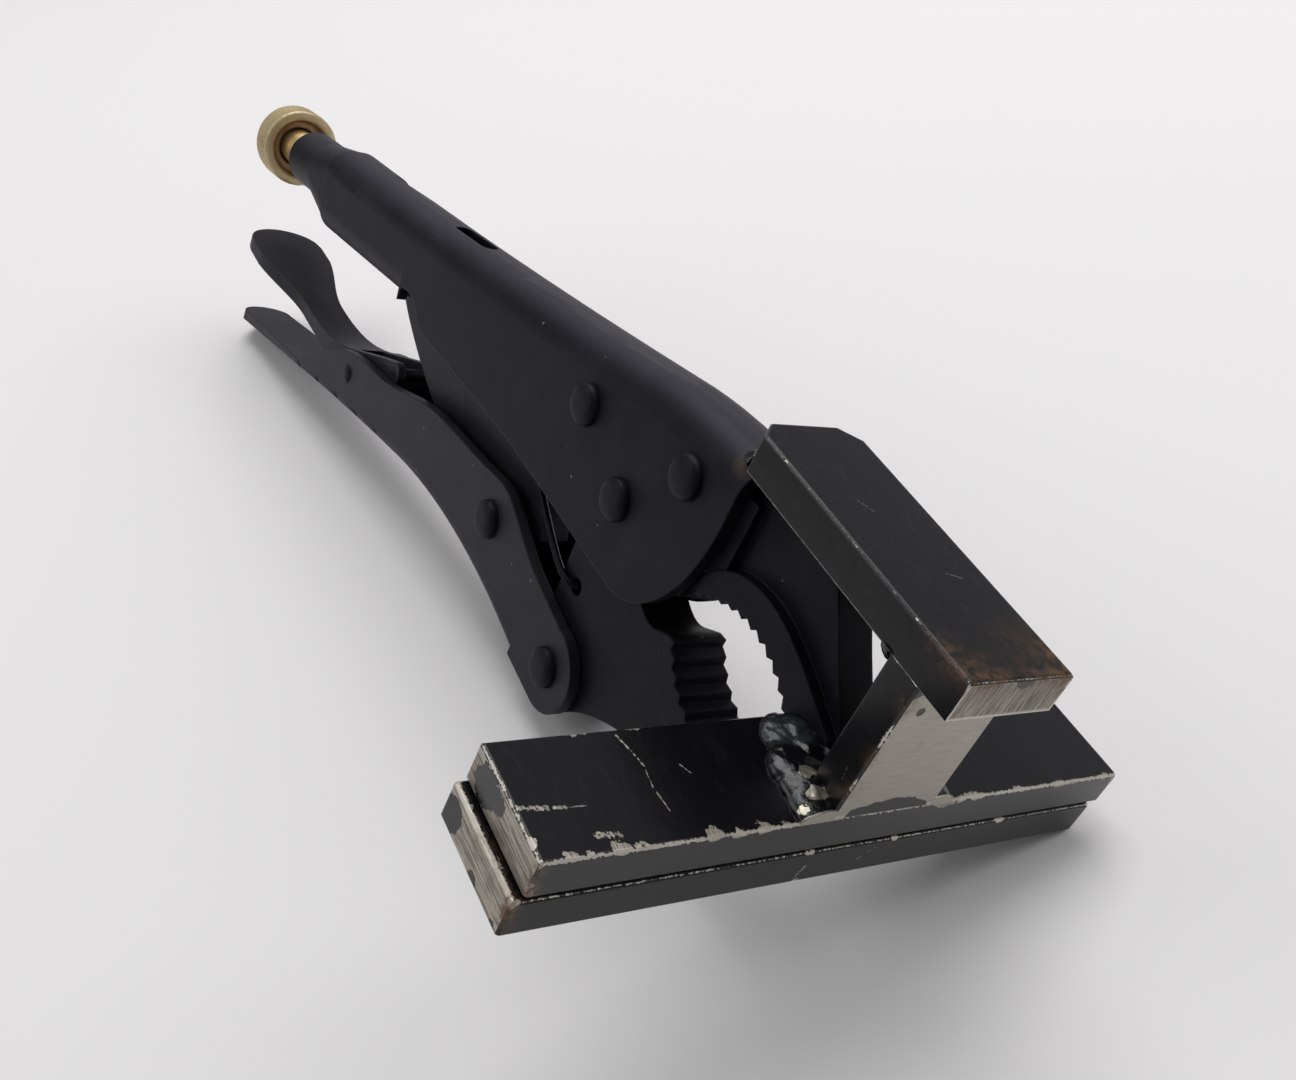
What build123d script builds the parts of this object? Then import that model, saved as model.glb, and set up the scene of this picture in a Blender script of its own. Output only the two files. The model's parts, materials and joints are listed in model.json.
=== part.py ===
from build123d import *
import os
from math import atan2, cos, degrees, hypot, radians, sin

os.makedirs("parts", exist_ok=True)

# Locking pliers with flat steel bars welded to their jaws. Millimetres.
# X runs forward along the tool, Y across it and Z the way the jaws open.
# The origin lies in the tool's middle plane, on the line where the two clamp bars meet at their front edges.
# Outlines are drawn as (x, z) on the middle plane and extruded the same distance to both sides.

# Flat bar stock and how it is welded up
bar_width = 19.05
bar_thick = 6.35
bar_length = 104.5
bar_chamfer = 0.4
clamp_gap = 0.2
upper_bar_shift = -1.4
lower_bar_shift = -2.9
strut_height = 24.3
brace_length = 52.3
brace_rear = -46.7
brace_corner = 3.3
bead_height = 0.8
bead_sink = 0.6

# Sheet-metal handles
handle_width = 14.6
sheet = 2.2
side_play = 0.2
handle_round = 6.0
lower_round = 2.6

# Pivots and rivets
jaw_pivot = (-69.4, 4.8)
handle_pivot = (-68.3, -32.6)
toggle_pivot = (-101.5, -25.6)
lever_pivot = (-176.5, -43.5)
rear_rivet = (-86.9, 11.5)
front_rivet = (-56.3, 19.7)
rivet_shank = 2.9
rivet_head = 3.8
rivet_dome = 1.8
pin_shank = 1.6
pin_head = 2.1
pin_dome = 0.6
pivot_play = 0.06
fixed_fit = 0.02

# Adjusting screw in the rear tube
tube_mouth = (-244.5, -22.7)
screw_tilt = 13.0
neck_radius = 6.9
neck_length = 13.0
tube_rear = 27.5
shoulder = 0.4
screw_radius = 4.7
screw_play = 0.06
tip_gap = 3.3
knob_radius = 9.9
knob_recess = 6.5
knob_thick = 8.0
knob_standoff = 10.5

# Toggle link
link_step = 1.9
link_play = 0.7
link_tip_radius = 3.5
link_tip_reach = 68.3
link_hub = 9.0
link_bulge = 12.6
link_slot_length = 21.0

# Jaws
web_step = 1.7
rim_step = 0.35
rim_depth = 5.0
hub_radius = 9.2
lug_radius = 8.3
hub_gap = 0.8
upper_tooth_count = 11
lower_tooth_count = 10
tooth_depth = 0.9

# Release lever
lever_sheet = 1.8
nose_radius = 2.6
nose_pin_radius = 1.3

# Tension spring, the tab pressed down from the handle for its rear hook and the jaw hole for its front hook
wire_radius = 0.7
coil_radius = 2.7
coil_pitch = 5.0
coil_length = 35.0
coil_sides = 10
spring_hole = (-72.4, -17.2)
spring_hole_radius = 1.6
slot_length = 15.4
slot_width = 3.6
tab_front = -145.4
tab_top = 7.0
tab_height = 6.0
tab_hole = 2.4
tab_thick = 1.6

half = handle_width / 2
cavity_width = handle_width - 2 * sheet
jaw_plate = cavity_width - 2 * side_play
jaw_web = jaw_plate - 2 * web_step
jaw_rim = jaw_plate + 2 * rim_step
link_thick = jaw_plate - 2 * link_step
lever_thick = jaw_plate - 2 * side_play
brace_middle = brace_rear + brace_length / 2
bar_seat = clamp_gap / 2 + bar_thick
brace_seat = bar_seat + strut_height


def save(piece, name):
    """Label a finished piece and write its STEP file."""
    piece.part.label = name
    export_step(piece.part, f"parts/{name}.step")


def along_screw(reach, rise=0.0):
    """Point on the screw's axis, reach in front of the tube's mouth and rise above the axis."""
    turn = radians(screw_tilt)
    x = tube_mouth[0] + reach * cos(turn) - rise * sin(turn)
    z = tube_mouth[1] + reach * sin(turn) + rise * cos(turn)
    return (x, z)


def screw_plane(reach):
    """Plane square to the screw's axis, looking forward."""
    x, z = along_screw(reach)
    turn = radians(screw_tilt)
    return Plane(origin=(x, 0, z), x_dir=(0, 1, 0), z_dir=(cos(turn), 0, sin(turn)))


def around(centre, radius, angle):
    """Point on a circle round centre, angle in degrees from straight forward."""
    return (centre[0] + radius * cos(radians(angle)), centre[1] + radius * sin(radians(angle)))


def mirrored(point):
    """The point on the other side of the X axis."""
    return (point[0], -point[1])


def across(width):
    """Upright plane on the far side of a piece this wide, for an outline extruded through the middle."""
    return Plane.XZ.offset(-width / 2)


def circle_through(a, b, c):
    """Centre and radius of the circle through three points."""
    d = 2 * (a[0] * (b[1] - c[1]) + b[0] * (c[1] - a[1]) + c[0] * (a[1] - b[1]))
    sa, sb, sc = (p[0] ** 2 + p[1] ** 2 for p in (a, b, c))
    x = (sa * (b[1] - c[1]) + sb * (c[1] - a[1]) + sc * (a[1] - b[1])) / d
    z = (sa * (c[0] - b[0]) + sb * (a[0] - c[0]) + sc * (b[0] - a[0])) / d
    return (x, z), hypot(a[0] - x, a[1] - z)


def tooth_line(start, middle, end, tooth_count):
    """Saw-tooth line along the arc from start to end: crests on the arc, roots one tooth depth outside it."""
    centre, radius = circle_through(start, middle, end)
    first = degrees(atan2(start[1] - centre[1], start[0] - centre[0]))
    last = degrees(atan2(end[1] - centre[1], end[0] - centre[0]))
    if first < 0:
        first += 360
        last += 360
    step = (last - first) / tooth_count
    points = [start]
    for tooth in range(tooth_count):
        points.append(around(centre, radius + tooth_depth, first + (tooth + 0.4) * step))
        points.append(around(centre, radius, first + (tooth + 1) * step))
    points[-1] = end
    return points


def side_edges(piece, up):
    """Edges along both sides of the faces that look up (1) or down (-1)."""
    looking = piece.faces().filter_by(lambda face: face.normal_at().Z * up > 0.8)
    return looking.edges().filter_by(lambda edge: abs(edge.center().Y) > half - 0.01)


# Fixed handle: folded sheet channel, closed to a tube at the rear with a round neck for the screw
tube_top = 8.8
tube_bottom = -11.3
tube_open = 79.5
handle_spine = [along_screw(tube_rear, tube_top), (-140.0, 9.8), (-72.0, 26.9)]
handle_shoulder = [handle_spine[-1], (-58.0, 29.5), (-45.2, 30.5)]
nose_x, nose_z = handle_shoulder[-1]
tube_end = along_screw(tube_open, tube_bottom)
flange_step = [
    (-164.0, -12.6),
    (-160.2, -11.5),
    (-157.0, -11.6),
    (-154.4, -12.9),
    (-151.2, -14.2),
    (-146.4, -14.3),
]
flange_mid = (-106.0, -9.7)
flange_front = (-64.0, -8.2)
head_curve = [flange_front, (-55.5, -5.6), (-49.8, 0.8), (-46.2, 9.5), (-45.0, 20.0)]


def lowered(points, drop):
    """The points moved down by drop."""
    return [(x, z - drop) for x, z in points]


with BuildPart() as handle_cavity:
    with BuildSketch(across(cavity_width)):
        with BuildLine():
            ThreePointArc(*lowered(handle_spine, sheet))
            ThreePointArc(*lowered(handle_shoulder, sheet))
            Polyline(
                (nose_x, nose_z - sheet),
                (nose_x + 10, nose_z - sheet),
                (nose_x + 10, -40),
                (tube_end[0] - 1, -40),
                along_screw(tube_open, tube_bottom + sheet),
                along_screw(tube_rear, tube_bottom + sheet),
                lowered(handle_spine, sheet)[0],
            )
        make_face()
    extrude(amount=cavity_width)
    fillet(handle_cavity.edges().filter_by(GeomType.CIRCLE), handle_round - sheet)

with BuildPart() as fixed_handle:
    with BuildSketch(across(handle_width)):
        with BuildLine():
            ThreePointArc(*handle_spine)
            ThreePointArc(*handle_shoulder)
            Line(handle_shoulder[-1], head_curve[-1])
            Spline(*reversed(head_curve))
            Polyline(flange_front, flange_mid, flange_step[-1])
            Spline(*reversed(flange_step))
            Polyline(flange_step[0], tube_end, along_screw(tube_rear, tube_bottom), handle_spine[0])
        make_face()
    extrude(amount=handle_width)
    fillet(side_edges(fixed_handle, 1), handle_round)
    with BuildSketch(screw_plane(tube_rear)):
        for side in (-1, 1):
            with Locations((side * (half - handle_round / 2), tube_bottom + handle_round / 2)):
                Rectangle(handle_round, handle_round)
            with Locations((side * (half - handle_round), tube_bottom + handle_round)):
                Circle(handle_round, mode=Mode.SUBTRACT)
    extrude(amount=tube_open - tube_rear, mode=Mode.SUBTRACT)
    with BuildSketch(screw_plane(tube_rear)):
        with Locations((0, (tube_top + tube_bottom) / 2)):
            RectangleRounded(handle_width - shoulder, tube_top - tube_bottom - shoulder, handle_round)
    with BuildSketch(screw_plane(neck_length)):
        RectangleRounded(2 * neck_radius, 2 * neck_radius, neck_radius - 0.05)
    loft()
    with BuildSketch(screw_plane(0)):
        Circle(neck_radius)
    extrude(amount=neck_length + 1)
    add(handle_cavity.part, mode=Mode.SUBTRACT)
    with BuildSketch(screw_plane(0)):
        Circle(screw_radius + screw_play)
    extrude(amount=tube_rear + 4, mode=Mode.SUBTRACT)
    with BuildSketch(across(handle_width)):
        for place in (jaw_pivot, rear_rivet, front_rivet):
            with Locations(place):
                Circle(rivet_shank + fixed_fit)
    extrude(amount=handle_width, mode=Mode.SUBTRACT)
    with BuildSketch(Plane.XY):
        with Locations((tab_front - slot_length / 2, 0)):
            SlotOverall(slot_length, slot_width)
    extrude(amount=20, mode=Mode.SUBTRACT)
    with BuildSketch(screw_plane(tube_open - link_slot_length)):
        with Locations((0, tube_bottom)):
            Rectangle(link_thick + 2 * link_play, 10)
    extrude(amount=link_slot_length + 2, mode=Mode.SUBTRACT)
    with BuildSketch(Plane(origin=(tab_front, 0, tab_top), x_dir=(0, 1, 0), z_dir=(-1, 0, 0))):
        with Locations((0, tab_height / 2)):
            Rectangle(slot_width, tab_height)
        with Locations((0, tab_height - tab_hole)):
            Circle(2 * wire_radius, mode=Mode.SUBTRACT)
    extrude(amount=tab_thick)
save(fixed_handle, "fixed_handle")

# Fixed jaw: tang between the handle's sides, a thinner web and a thicker rim that carries the teeth
upper_teeth = tooth_line((-45.8, 3.8), (-30.2, 10.3), (-19.8, bar_seat), upper_tooth_count)
tip_front = -7.5
jaw_back = [(-33.0, brace_seat - 0.6), (-24.0, 26.2), (-18.1, 19.5), (-11.9, 12.5), (-8.2, bar_seat + 1.2)]
neck_front = -44.9
neck_top = [(-36.0, brace_seat), (neck_front, brace_seat)]
neck_rear = [(neck_front, 22.0), (-60.0, 22.0), (-55.0, 6.0), (-49.0, 1.6)]
rim_back = [(-10.2, 9.9), (-21.6, 14.6), (-31.5, 16.4), (-40.0, 14.4), (-45.8, 8.8)]
tang_heel = [(-86.9, 5.1), (-93.3, 11.5), (-87.9, 17.8)]
tang_toe = (-80.0, 8.0)
tang_clear = hub_radius + hub_gap
tang_front = -42.3
tang_top = [(-57.0, 23.8), (tang_front, 25.0)]
tang_chin = [(tang_front, 12.0), (-47.0, 8.6), (-49.0, 1.6)]
with BuildPart() as fixed_jaw:
    with BuildSketch(across(jaw_web)):
        with BuildLine():
            Polyline(*upper_teeth, (tip_front, bar_seat), jaw_back[-1])
            Spline(*reversed(jaw_back))
            Polyline(jaw_back[0], *neck_top, *neck_rear, upper_teeth[0])
        make_face()
    extrude(amount=jaw_web)
    with BuildSketch(across(jaw_rim)):
        with BuildLine():
            Polyline(*upper_teeth, (tip_front, bar_seat), rim_back[0])
            Spline(*rim_back)
            Line(rim_back[-1], upper_teeth[0])
        make_face()
    extrude(amount=jaw_rim)
    with BuildSketch(across(jaw_plate)):
        with BuildLine():
            Line(tang_toe, tang_heel[0])
            ThreePointArc(*tang_heel)
            Polyline(tang_heel[-1], *tang_top, *tang_chin, around(jaw_pivot, tang_clear, -20))
            ThreePointArc(around(jaw_pivot, tang_clear, -20), around(jaw_pivot, tang_clear, 80), tang_toe)
        make_face()
    extrude(amount=jaw_plate)
    with BuildSketch(across(handle_width)):
        for place in (rear_rivet, front_rivet):
            with Locations(place):
                Circle(rivet_shank + fixed_fit)
    extrude(amount=handle_width, mode=Mode.SUBTRACT)
save(fixed_jaw, "fixed_jaw")

# Moving jaw: hub on the jaw pivot, lug on the handle pivot, tip under the lower bar
lower_teeth = tooth_line((-44.6, -4.2), (-32.0, -11.1), (-19.8, -bar_seat), lower_tooth_count)
belly = [
    (-8.2, -bar_seat - 1.2),
    (-19.0, -13.0),
    (-35.0, -21.5),
    (-51.1, -29.0),
    around(handle_pivot, lug_radius, -38),
]
throat = [around(jaw_pivot, hub_radius, -42), (-56.0, -5.9), (-51.0, -6.8), (-46.4, -4.4), lower_teeth[0]]
rim_belly = [(-14.0, -10.5), (-26.0, -16.0), (-38.4, -16.0), (-43.3, -13.1), (-46.4, -8.9), (-49.0, -6.6)]
rim_corner = (-47.6, -5.1)
with BuildPart() as moving_jaw:
    with BuildSketch(across(jaw_plate)):
        with BuildLine():
            Polyline(*lower_teeth, (tip_front, -bar_seat), belly[0])
            Spline(*belly)
            ThreePointArc(
                around(handle_pivot, lug_radius, -38),
                around(handle_pivot, lug_radius, -100),
                around(handle_pivot, lug_radius, 183),
            )
            Line(around(handle_pivot, lug_radius, 183), around(jaw_pivot, hub_radius, 183))
            ThreePointArc(
                around(jaw_pivot, hub_radius, 183),
                around(jaw_pivot, hub_radius, 80),
                around(jaw_pivot, hub_radius, -42),
            )
            Spline(*throat)
        make_face()
    extrude(amount=jaw_plate)
    with BuildSketch(across(jaw_rim)):
        with BuildLine():
            Polyline(*lower_teeth, (tip_front, -bar_seat), belly[0], rim_belly[0])
            Spline(*rim_belly)
            Spline(rim_belly[-1], rim_corner, throat[-2])
            Line(throat[-2], lower_teeth[0])
        make_face()
    extrude(amount=jaw_rim)
    with BuildSketch(across(handle_width)):
        for place in (jaw_pivot, handle_pivot):
            with Locations(place):
                Circle(rivet_shank + pivot_play)
        with Locations(spring_hole):
            Circle(spring_hole_radius)
    extrude(amount=handle_width, mode=Mode.SUBTRACT)
save(moving_jaw, "moving_jaw")

# Clamp bars
bars = {
    "upper_clamp_bar": (-bar_width / 2, upper_bar_shift, clamp_gap / 2 + bar_thick / 2),
    "lower_clamp_bar": (0.2 - bar_width / 2, lower_bar_shift, -clamp_gap / 2 - bar_thick / 2),
}
clamp_bars = {}
for name, centre in bars.items():
    with BuildPart() as clamp_bar:
        with Locations(centre):
            Box(bar_width, bar_length, bar_thick)
        chamfer(clamp_bar.edges(), bar_chamfer)
    save(clamp_bar, name)
    clamp_bars[name] = clamp_bar

# Brace over the jaws and the strut that joins it to the upper bar
with BuildPart() as brace_bar:
    with BuildSketch(Plane.XY.offset(brace_seat)):
        with Locations((brace_middle, 0)):
            Rectangle(brace_length, bar_width)
    extrude(amount=bar_thick)
    chamfer(brace_bar.edges().filter_by(Axis.Z).group_by(Axis.X)[0], brace_corner)
    chamfer(brace_bar.faces().sort_by(Axis.Z)[-1].edges(), bar_chamfer)
save(brace_bar, "brace_bar")

with BuildPart() as brace_strut:
    with BuildSketch(Plane.XY.offset(bar_seat)):
        with Locations((-bar_thick / 2, 0)):
            Rectangle(bar_thick, bar_width)
    extrude(amount=strut_height)
    chamfer(brace_strut.edges().filter_by(Axis.Z), bar_chamfer)
save(brace_strut, "brace_strut")

# Moving handle: folded channel with two ears on the handle pivot and a flat tail
ear_radius = 8.5
floor_front = -80.0
tail_thick = 3.2
tail_end = -255.0
keel_front = [(floor_front, -40.4), (-112.0, -38.3), (-142.0, -42.6)]
keel_rear = [keel_front[-1], (-173.5, -51.5), (-205.0, -61.3)]
keel_end = (tail_end, -77.0)
trough_rear = -198.0
trough_lip = -40.0
trough_front = -50.0
trough_low = -60.0
tail_neck = (-248.0, 6.0)
tail_plan_front = (-40.0, 12.3)
ear_foot = around(handle_pivot, ear_radius, -92)
ear_top = around(handle_pivot, ear_radius, 95)
rim_line = [
    (floor_front, -22.7),
    (-92.7, -19.0),
    (-100.0, -17.3),
    (-108.0, -18.6),
    (-138.7, -25.2),
    (-158.2, -33.0),
    (-167.0, -35.2),
    (-185.3, -42.3),
    (-195.0, -50.0),
    (-205.0, -58.5),
]
with BuildPart() as moving_handle:
    with BuildSketch(across(handle_width)):
        with BuildLine():
            ThreePointArc(*keel_front)
            ThreePointArc(*keel_rear)
            Polyline(keel_rear[-1], keel_end, (tail_end, keel_end[1] + tail_thick), rim_line[-1])
            Spline(*reversed(rim_line))
            Line(rim_line[0], keel_front[0])
        make_face()
    extrude(amount=handle_width)
    fillet(side_edges(moving_handle, -1), lower_round)
    with BuildSketch(across(handle_width)):
        with BuildLine():
            Polyline(rim_line[0], keel_front[0], ear_foot)
            ThreePointArc(ear_foot, around(handle_pivot, ear_radius, 0), ear_top)
            Line(ear_top, rim_line[0])
        make_face()
    extrude(amount=handle_width)
    with BuildSketch(across(cavity_width)):
        with BuildLine():
            ThreePointArc(*lowered(keel_front, -sheet))
            ThreePointArc(*lowered(keel_rear, -sheet))
            Polyline(
                lowered(keel_rear, -sheet)[-1],
                (trough_rear, trough_lip),
                (trough_rear, 0),
                (trough_front, 0),
                (trough_front, trough_low),
                (floor_front, trough_low),
                lowered(keel_front, -sheet)[0],
            )
        make_face()
    extrude(amount=cavity_width, mode=Mode.SUBTRACT)
    with BuildSketch(Plane.XY.offset(-100)):
        with BuildLine():
            Polyline(mirrored(tail_neck), mirrored(tail_plan_front), tail_plan_front, tail_neck)
            ThreePointArc(tail_neck, (tail_end, 0), mirrored(tail_neck))
        make_face()
    extrude(amount=120, mode=Mode.INTERSECT)
    with BuildSketch(across(handle_width)):
        for place in (handle_pivot, toggle_pivot):
            with Locations(place):
                Circle(rivet_shank + fixed_fit)
        with Locations(lever_pivot):
            Circle(pin_shank + fixed_fit)
    extrude(amount=handle_width, mode=Mode.SUBTRACT)
save(moving_handle, "moving_handle")

# Toggle link from the moving handle up into the fixed handle, its free tip facing the screw
link_tip = along_screw(link_tip_reach)
link_back = [(-122.0, -12.6), (-145.0, -10.0), (-165.0, -7.6)]
link_belly = [(-172.0, -16.0), (-154.4, -24.0), (-140.0, -28.0), (-120.0, -31.0)]
with BuildPart() as toggle_link:
    with BuildSketch(across(link_thick)):
        with BuildLine():
            ThreePointArc(
                around(toggle_pivot, link_bulge, 20),
                around(toggle_pivot, link_bulge, 60),
                around(toggle_pivot, link_bulge, 100),
            )
            Spline(
                around(toggle_pivot, link_bulge, 100),
                *link_back,
                around(link_tip, link_tip_radius, 80),
            )
            ThreePointArc(
                around(link_tip, link_tip_radius, 80),
                around(link_tip, link_tip_radius, 180),
                around(link_tip, link_tip_radius, 265),
            )
            Spline(
                around(link_tip, link_tip_radius, 265),
                *link_belly,
                around(toggle_pivot, link_hub, 255),
            )
            ThreePointArc(
                around(toggle_pivot, link_hub, 255),
                around(toggle_pivot, link_hub, 300),
                around(toggle_pivot, link_hub, 0),
            )
            Line(around(toggle_pivot, link_hub, 0), around(toggle_pivot, link_bulge, 20))
        make_face()
        with Locations(toggle_pivot):
            Circle(rivet_shank + pivot_play, mode=Mode.SUBTRACT)
    extrude(amount=link_thick)
save(toggle_link, "toggle_link")

# Release lever: two ears round its pin with a nose pin between them, and a flat paddle
nose = (-160.0, -32.0)
lever_paddle = 9.4
ear_gap = lever_thick - 2 * lever_sheet
lever_end = -257.0
lever_top = [
    (lever_end, -50.3),
    (-240.0, -48.9),
    (-222.0, -48.3),
    (-205.0, -47.3),
    (-190.0, -43.7),
    (-178.0, -38.2),
]
lever_bottom = [
    (-170.0, -43.6),
    (-180.0, -48.6),
    (-192.0, -50.0),
    (-205.0, -51.0),
    (-222.0, -51.7),
    (lever_end, -53.3),
]
far_side = [
    (-215.0, lever_thick / 2),
    (-223.0, 5.8),
    (-232.0, lever_paddle - 1.4),
    (-240.0, lever_paddle),
    (-251.0, lever_paddle - 0.6),
]
near_side = [mirrored(point) for point in far_side]
with BuildPart() as release_lever:
    with BuildSketch(across(2 * lever_paddle)):
        with BuildLine():
            Spline(*lever_top, around(nose, nose_radius, 130))
            ThreePointArc(
                around(nose, nose_radius, 130),
                around(nose, nose_radius, 0),
                around(nose, nose_radius, -70),
            )
            Spline(around(nose, nose_radius, -70), *lever_bottom)
            Line(lever_bottom[-1], lever_top[0])
        make_face()
    extrude(amount=2 * lever_paddle)
    with BuildSketch(Plane.XY.offset(-60)):
        with BuildLine():
            Polyline(far_side[0], (-150.0, lever_thick / 2), (-150.0, -lever_thick / 2), near_side[0])
            Spline(*near_side)
            ThreePointArc(near_side[-1], (lever_end, 0), far_side[-1])
            Spline(*reversed(far_side))
        make_face()
    extrude(amount=40, mode=Mode.INTERSECT)
    with BuildSketch(across(ear_gap)):
        with Locations((-165.0, -40.0)):
            Rectangle(36, 40)
    extrude(amount=ear_gap, mode=Mode.SUBTRACT)
    with BuildSketch(across(handle_width)):
        with Locations(lever_pivot):
            Circle(pin_shank + pivot_play)
        with Locations(nose):
            Circle(nose_pin_radius + fixed_fit)
    extrude(amount=handle_width, mode=Mode.SUBTRACT)
save(release_lever, "release_lever")

with BuildPart() as lever_nose_pin:
    with BuildSketch(across(lever_thick)):
        with Locations(nose):
            Circle(nose_pin_radius)
    extrude(amount=lever_thick)
save(lever_nose_pin, "lever_nose_pin")

# Rivets and pins: plain shank with a domed head outside each side plate
rivets = {
    "jaw_pivot_rivet": (jaw_pivot, rivet_shank, rivet_head, rivet_dome),
    "fixed_jaw_rivet_rear": (rear_rivet, rivet_shank, rivet_head, rivet_dome),
    "fixed_jaw_rivet_front": (front_rivet, rivet_shank, rivet_head, rivet_dome),
    "handle_pivot_rivet": (handle_pivot, rivet_shank, rivet_head, rivet_dome),
    "toggle_rivet": (toggle_pivot, rivet_shank, rivet_head, rivet_dome),
    "release_lever_pin": (lever_pivot, pin_shank, pin_head, pin_dome),
}
for name, (place, shank, head, dome) in rivets.items():
    crest = half + dome
    brow = half + 0.65 * dome
    with BuildPart() as rivet:
        with BuildSketch(Plane(origin=(place[0], 0, place[1]), x_dir=(1, 0, 0), z_dir=(0, 0, 1))):
            with BuildLine():
                Polyline((0, -crest), (0, crest), (0.45 * head, crest), (0.85 * head, brow), (head, half))
                Polyline((head, half), (shank, half), (shank, -half), (head, -half))
                Polyline((head, -half), (0.85 * head, -brow), (0.45 * head, -crest), (0, -crest))
            make_face()
        revolve(axis=Axis((place[0], 0, place[1]), (0, 1, 0)))
    save(rivet, name)

# Adjusting screw: plain core with a chamfered tip, sliding in the neck
with BuildPart() as adjusting_screw:
    with BuildSketch(screw_plane(-knob_standoff - knob_thick + 2.5)):
        Circle(screw_radius)
    extrude(amount=link_tip_reach - link_tip_radius - tip_gap + knob_standoff + knob_thick - 2.5)
    chamfer(adjusting_screw.edges().sort_by(Axis.X)[-1], 1.0)
save(adjusting_screw, "adjusting_screw")

# Knurled knob: disc with a ring recess round the screw
with BuildPart() as knurled_knob:
    with BuildSketch(screw_plane(-knob_standoff - knob_thick)):
        Circle(knob_radius)
    extrude(amount=knob_thick)
    chamfer(knurled_knob.edges(), 0.8)
    with BuildSketch(screw_plane(-knob_standoff - 2.0)):
        Circle(knob_recess)
    extrude(amount=3, mode=Mode.SUBTRACT)
    with BuildSketch(screw_plane(-knob_standoff - knob_thick + 2.4)):
        Circle(screw_radius + screw_play)
    extrude(amount=knob_thick, mode=Mode.SUBTRACT)
save(knurled_knob, "knurled_knob")

# Tension spring: coil with a straight hook into the tab at the rear and a side hook into the jaw's hole in front
spring_rear = (tab_front - tab_thick - 1.6, 0, tab_top - tab_height + tab_hole + 0.6)
spring_front = (spring_hole[0] - 0.5, 0, spring_hole[1] - 0.4)
spring_side = jaw_plate / 2 + wire_radius + 0.1
spring_lead = -79.5


def on_spring(share):
    """Point on the spring's axis at a share of the way from its rear end to its front end."""
    return Vector(*spring_rear) + (Vector(*spring_front) - Vector(*spring_rear)) * share


spring_axis = (on_spring(1) - on_spring(0)).normalized()
coil_across = Vector(0, 1, 0)
coil_up = spring_axis.cross(coil_across)
coil_start = on_spring(0.1)
coil_end = coil_start + spring_axis * coil_length
coil_steps = round(coil_length / coil_pitch * coil_sides)
coil = []
for step in range(coil_steps + 1):
    turn = radians(360 * step / coil_sides)
    swing = coil_across * -cos(turn) + coil_up * sin(turn)
    coil.append(coil_start + spring_axis * (coil_length * step / coil_steps) + swing * coil_radius)
with BuildPart() as jaw_spring:
    with BuildLine() as wire:
        Polyline(
            on_spring(0) + Vector(0, 0, 1.8),
            on_spring(0),
            coil_start - spring_axis * 1.5,
            *coil,
            coil_end + spring_axis * 1.5 + coil_across * -coil_radius,
            Vector(spring_lead, -spring_side, spring_front[2]),
            Vector(spring_front[0], -spring_side, spring_front[2]),
            Vector(spring_front[0], -jaw_plate / 4, spring_front[2]),
        )
    with BuildSketch(Plane(origin=wire.line @ 0, z_dir=wire.line % 0)):
        RegularPolygon(wire_radius, 6)
    sweep(transition=Transition.RIGHT)
save(jaw_spring, "jaw_spring")

# Weld beads: the x that each is cut back to in front, the face that it is laid on, whether it stands up (1)
# or hangs (-1), then its row of overlapping lumps (x, y, radius)
left_lumps = [(-17, -6, 3.8), (-13.5, -7.2, 4.4), (-9.5, -8.8, 4.9), (-5.6, -10.2, 4.8), (-2.4, -10.2, 4)]
right_lumps = [(-16, 6, 3.6), (-11.5, 7.6, 4.2), (-6.5, 9.2, 4.2)]
strut_lumps = [(-bar_thick, -7.2, 2.7), (-bar_thick, -3.4, 3), (-bar_thick, 0.6, 2.8), (-bar_thick, 4.4, 3)]
head_lumps = [(brace_rear, -3.4, 3.2), (brace_rear, 0, 3.6), (brace_rear, 3.4, 3.2)]
under_lumps = [(-16.5, -5.8, 3.4), (-12.5, -6, 3.8)]
welds = {
    "weld_upper_left": (0, bar_seat, 1, left_lumps),
    "weld_upper_right": (0, bar_seat, 1, right_lumps),
    "weld_strut_top": (0, brace_seat, -1, strut_lumps),
    "weld_brace_head": (brace_rear, brace_seat - 1.2, 1, head_lumps),
    "weld_lower_left": (0, -bar_seat, -1, under_lumps),
    "weld_lower_right": (0, -bar_seat, -1, [(x, -y, radius) for x, y, radius in under_lumps]),
}
joined = [fixed_handle, fixed_jaw, moving_jaw, brace_bar, brace_strut, *clamp_bars.values()]
for name, (front, seat, up, lumps) in welds.items():
    with BuildPart() as weld:
        for x, y, radius in lumps:
            height = bead_height * radius + bead_sink
            with Locations(Location((x, y, seat - up * bead_sink), (90 - 90 * up, 0, 0))):
                Cone(radius, radius / 2, height, align=(Align.CENTER, Align.CENTER, Align.MIN))
        for piece in joined:
            add(piece.part, mode=Mode.SUBTRACT)
        split(bisect_by=Plane.YZ.offset(front), keep=Keep.BOTTOM)
    save(weld, name)
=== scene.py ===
import json
import math

import bmesh
import bpy
from mathutils import Matrix, Vector, noise


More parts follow.
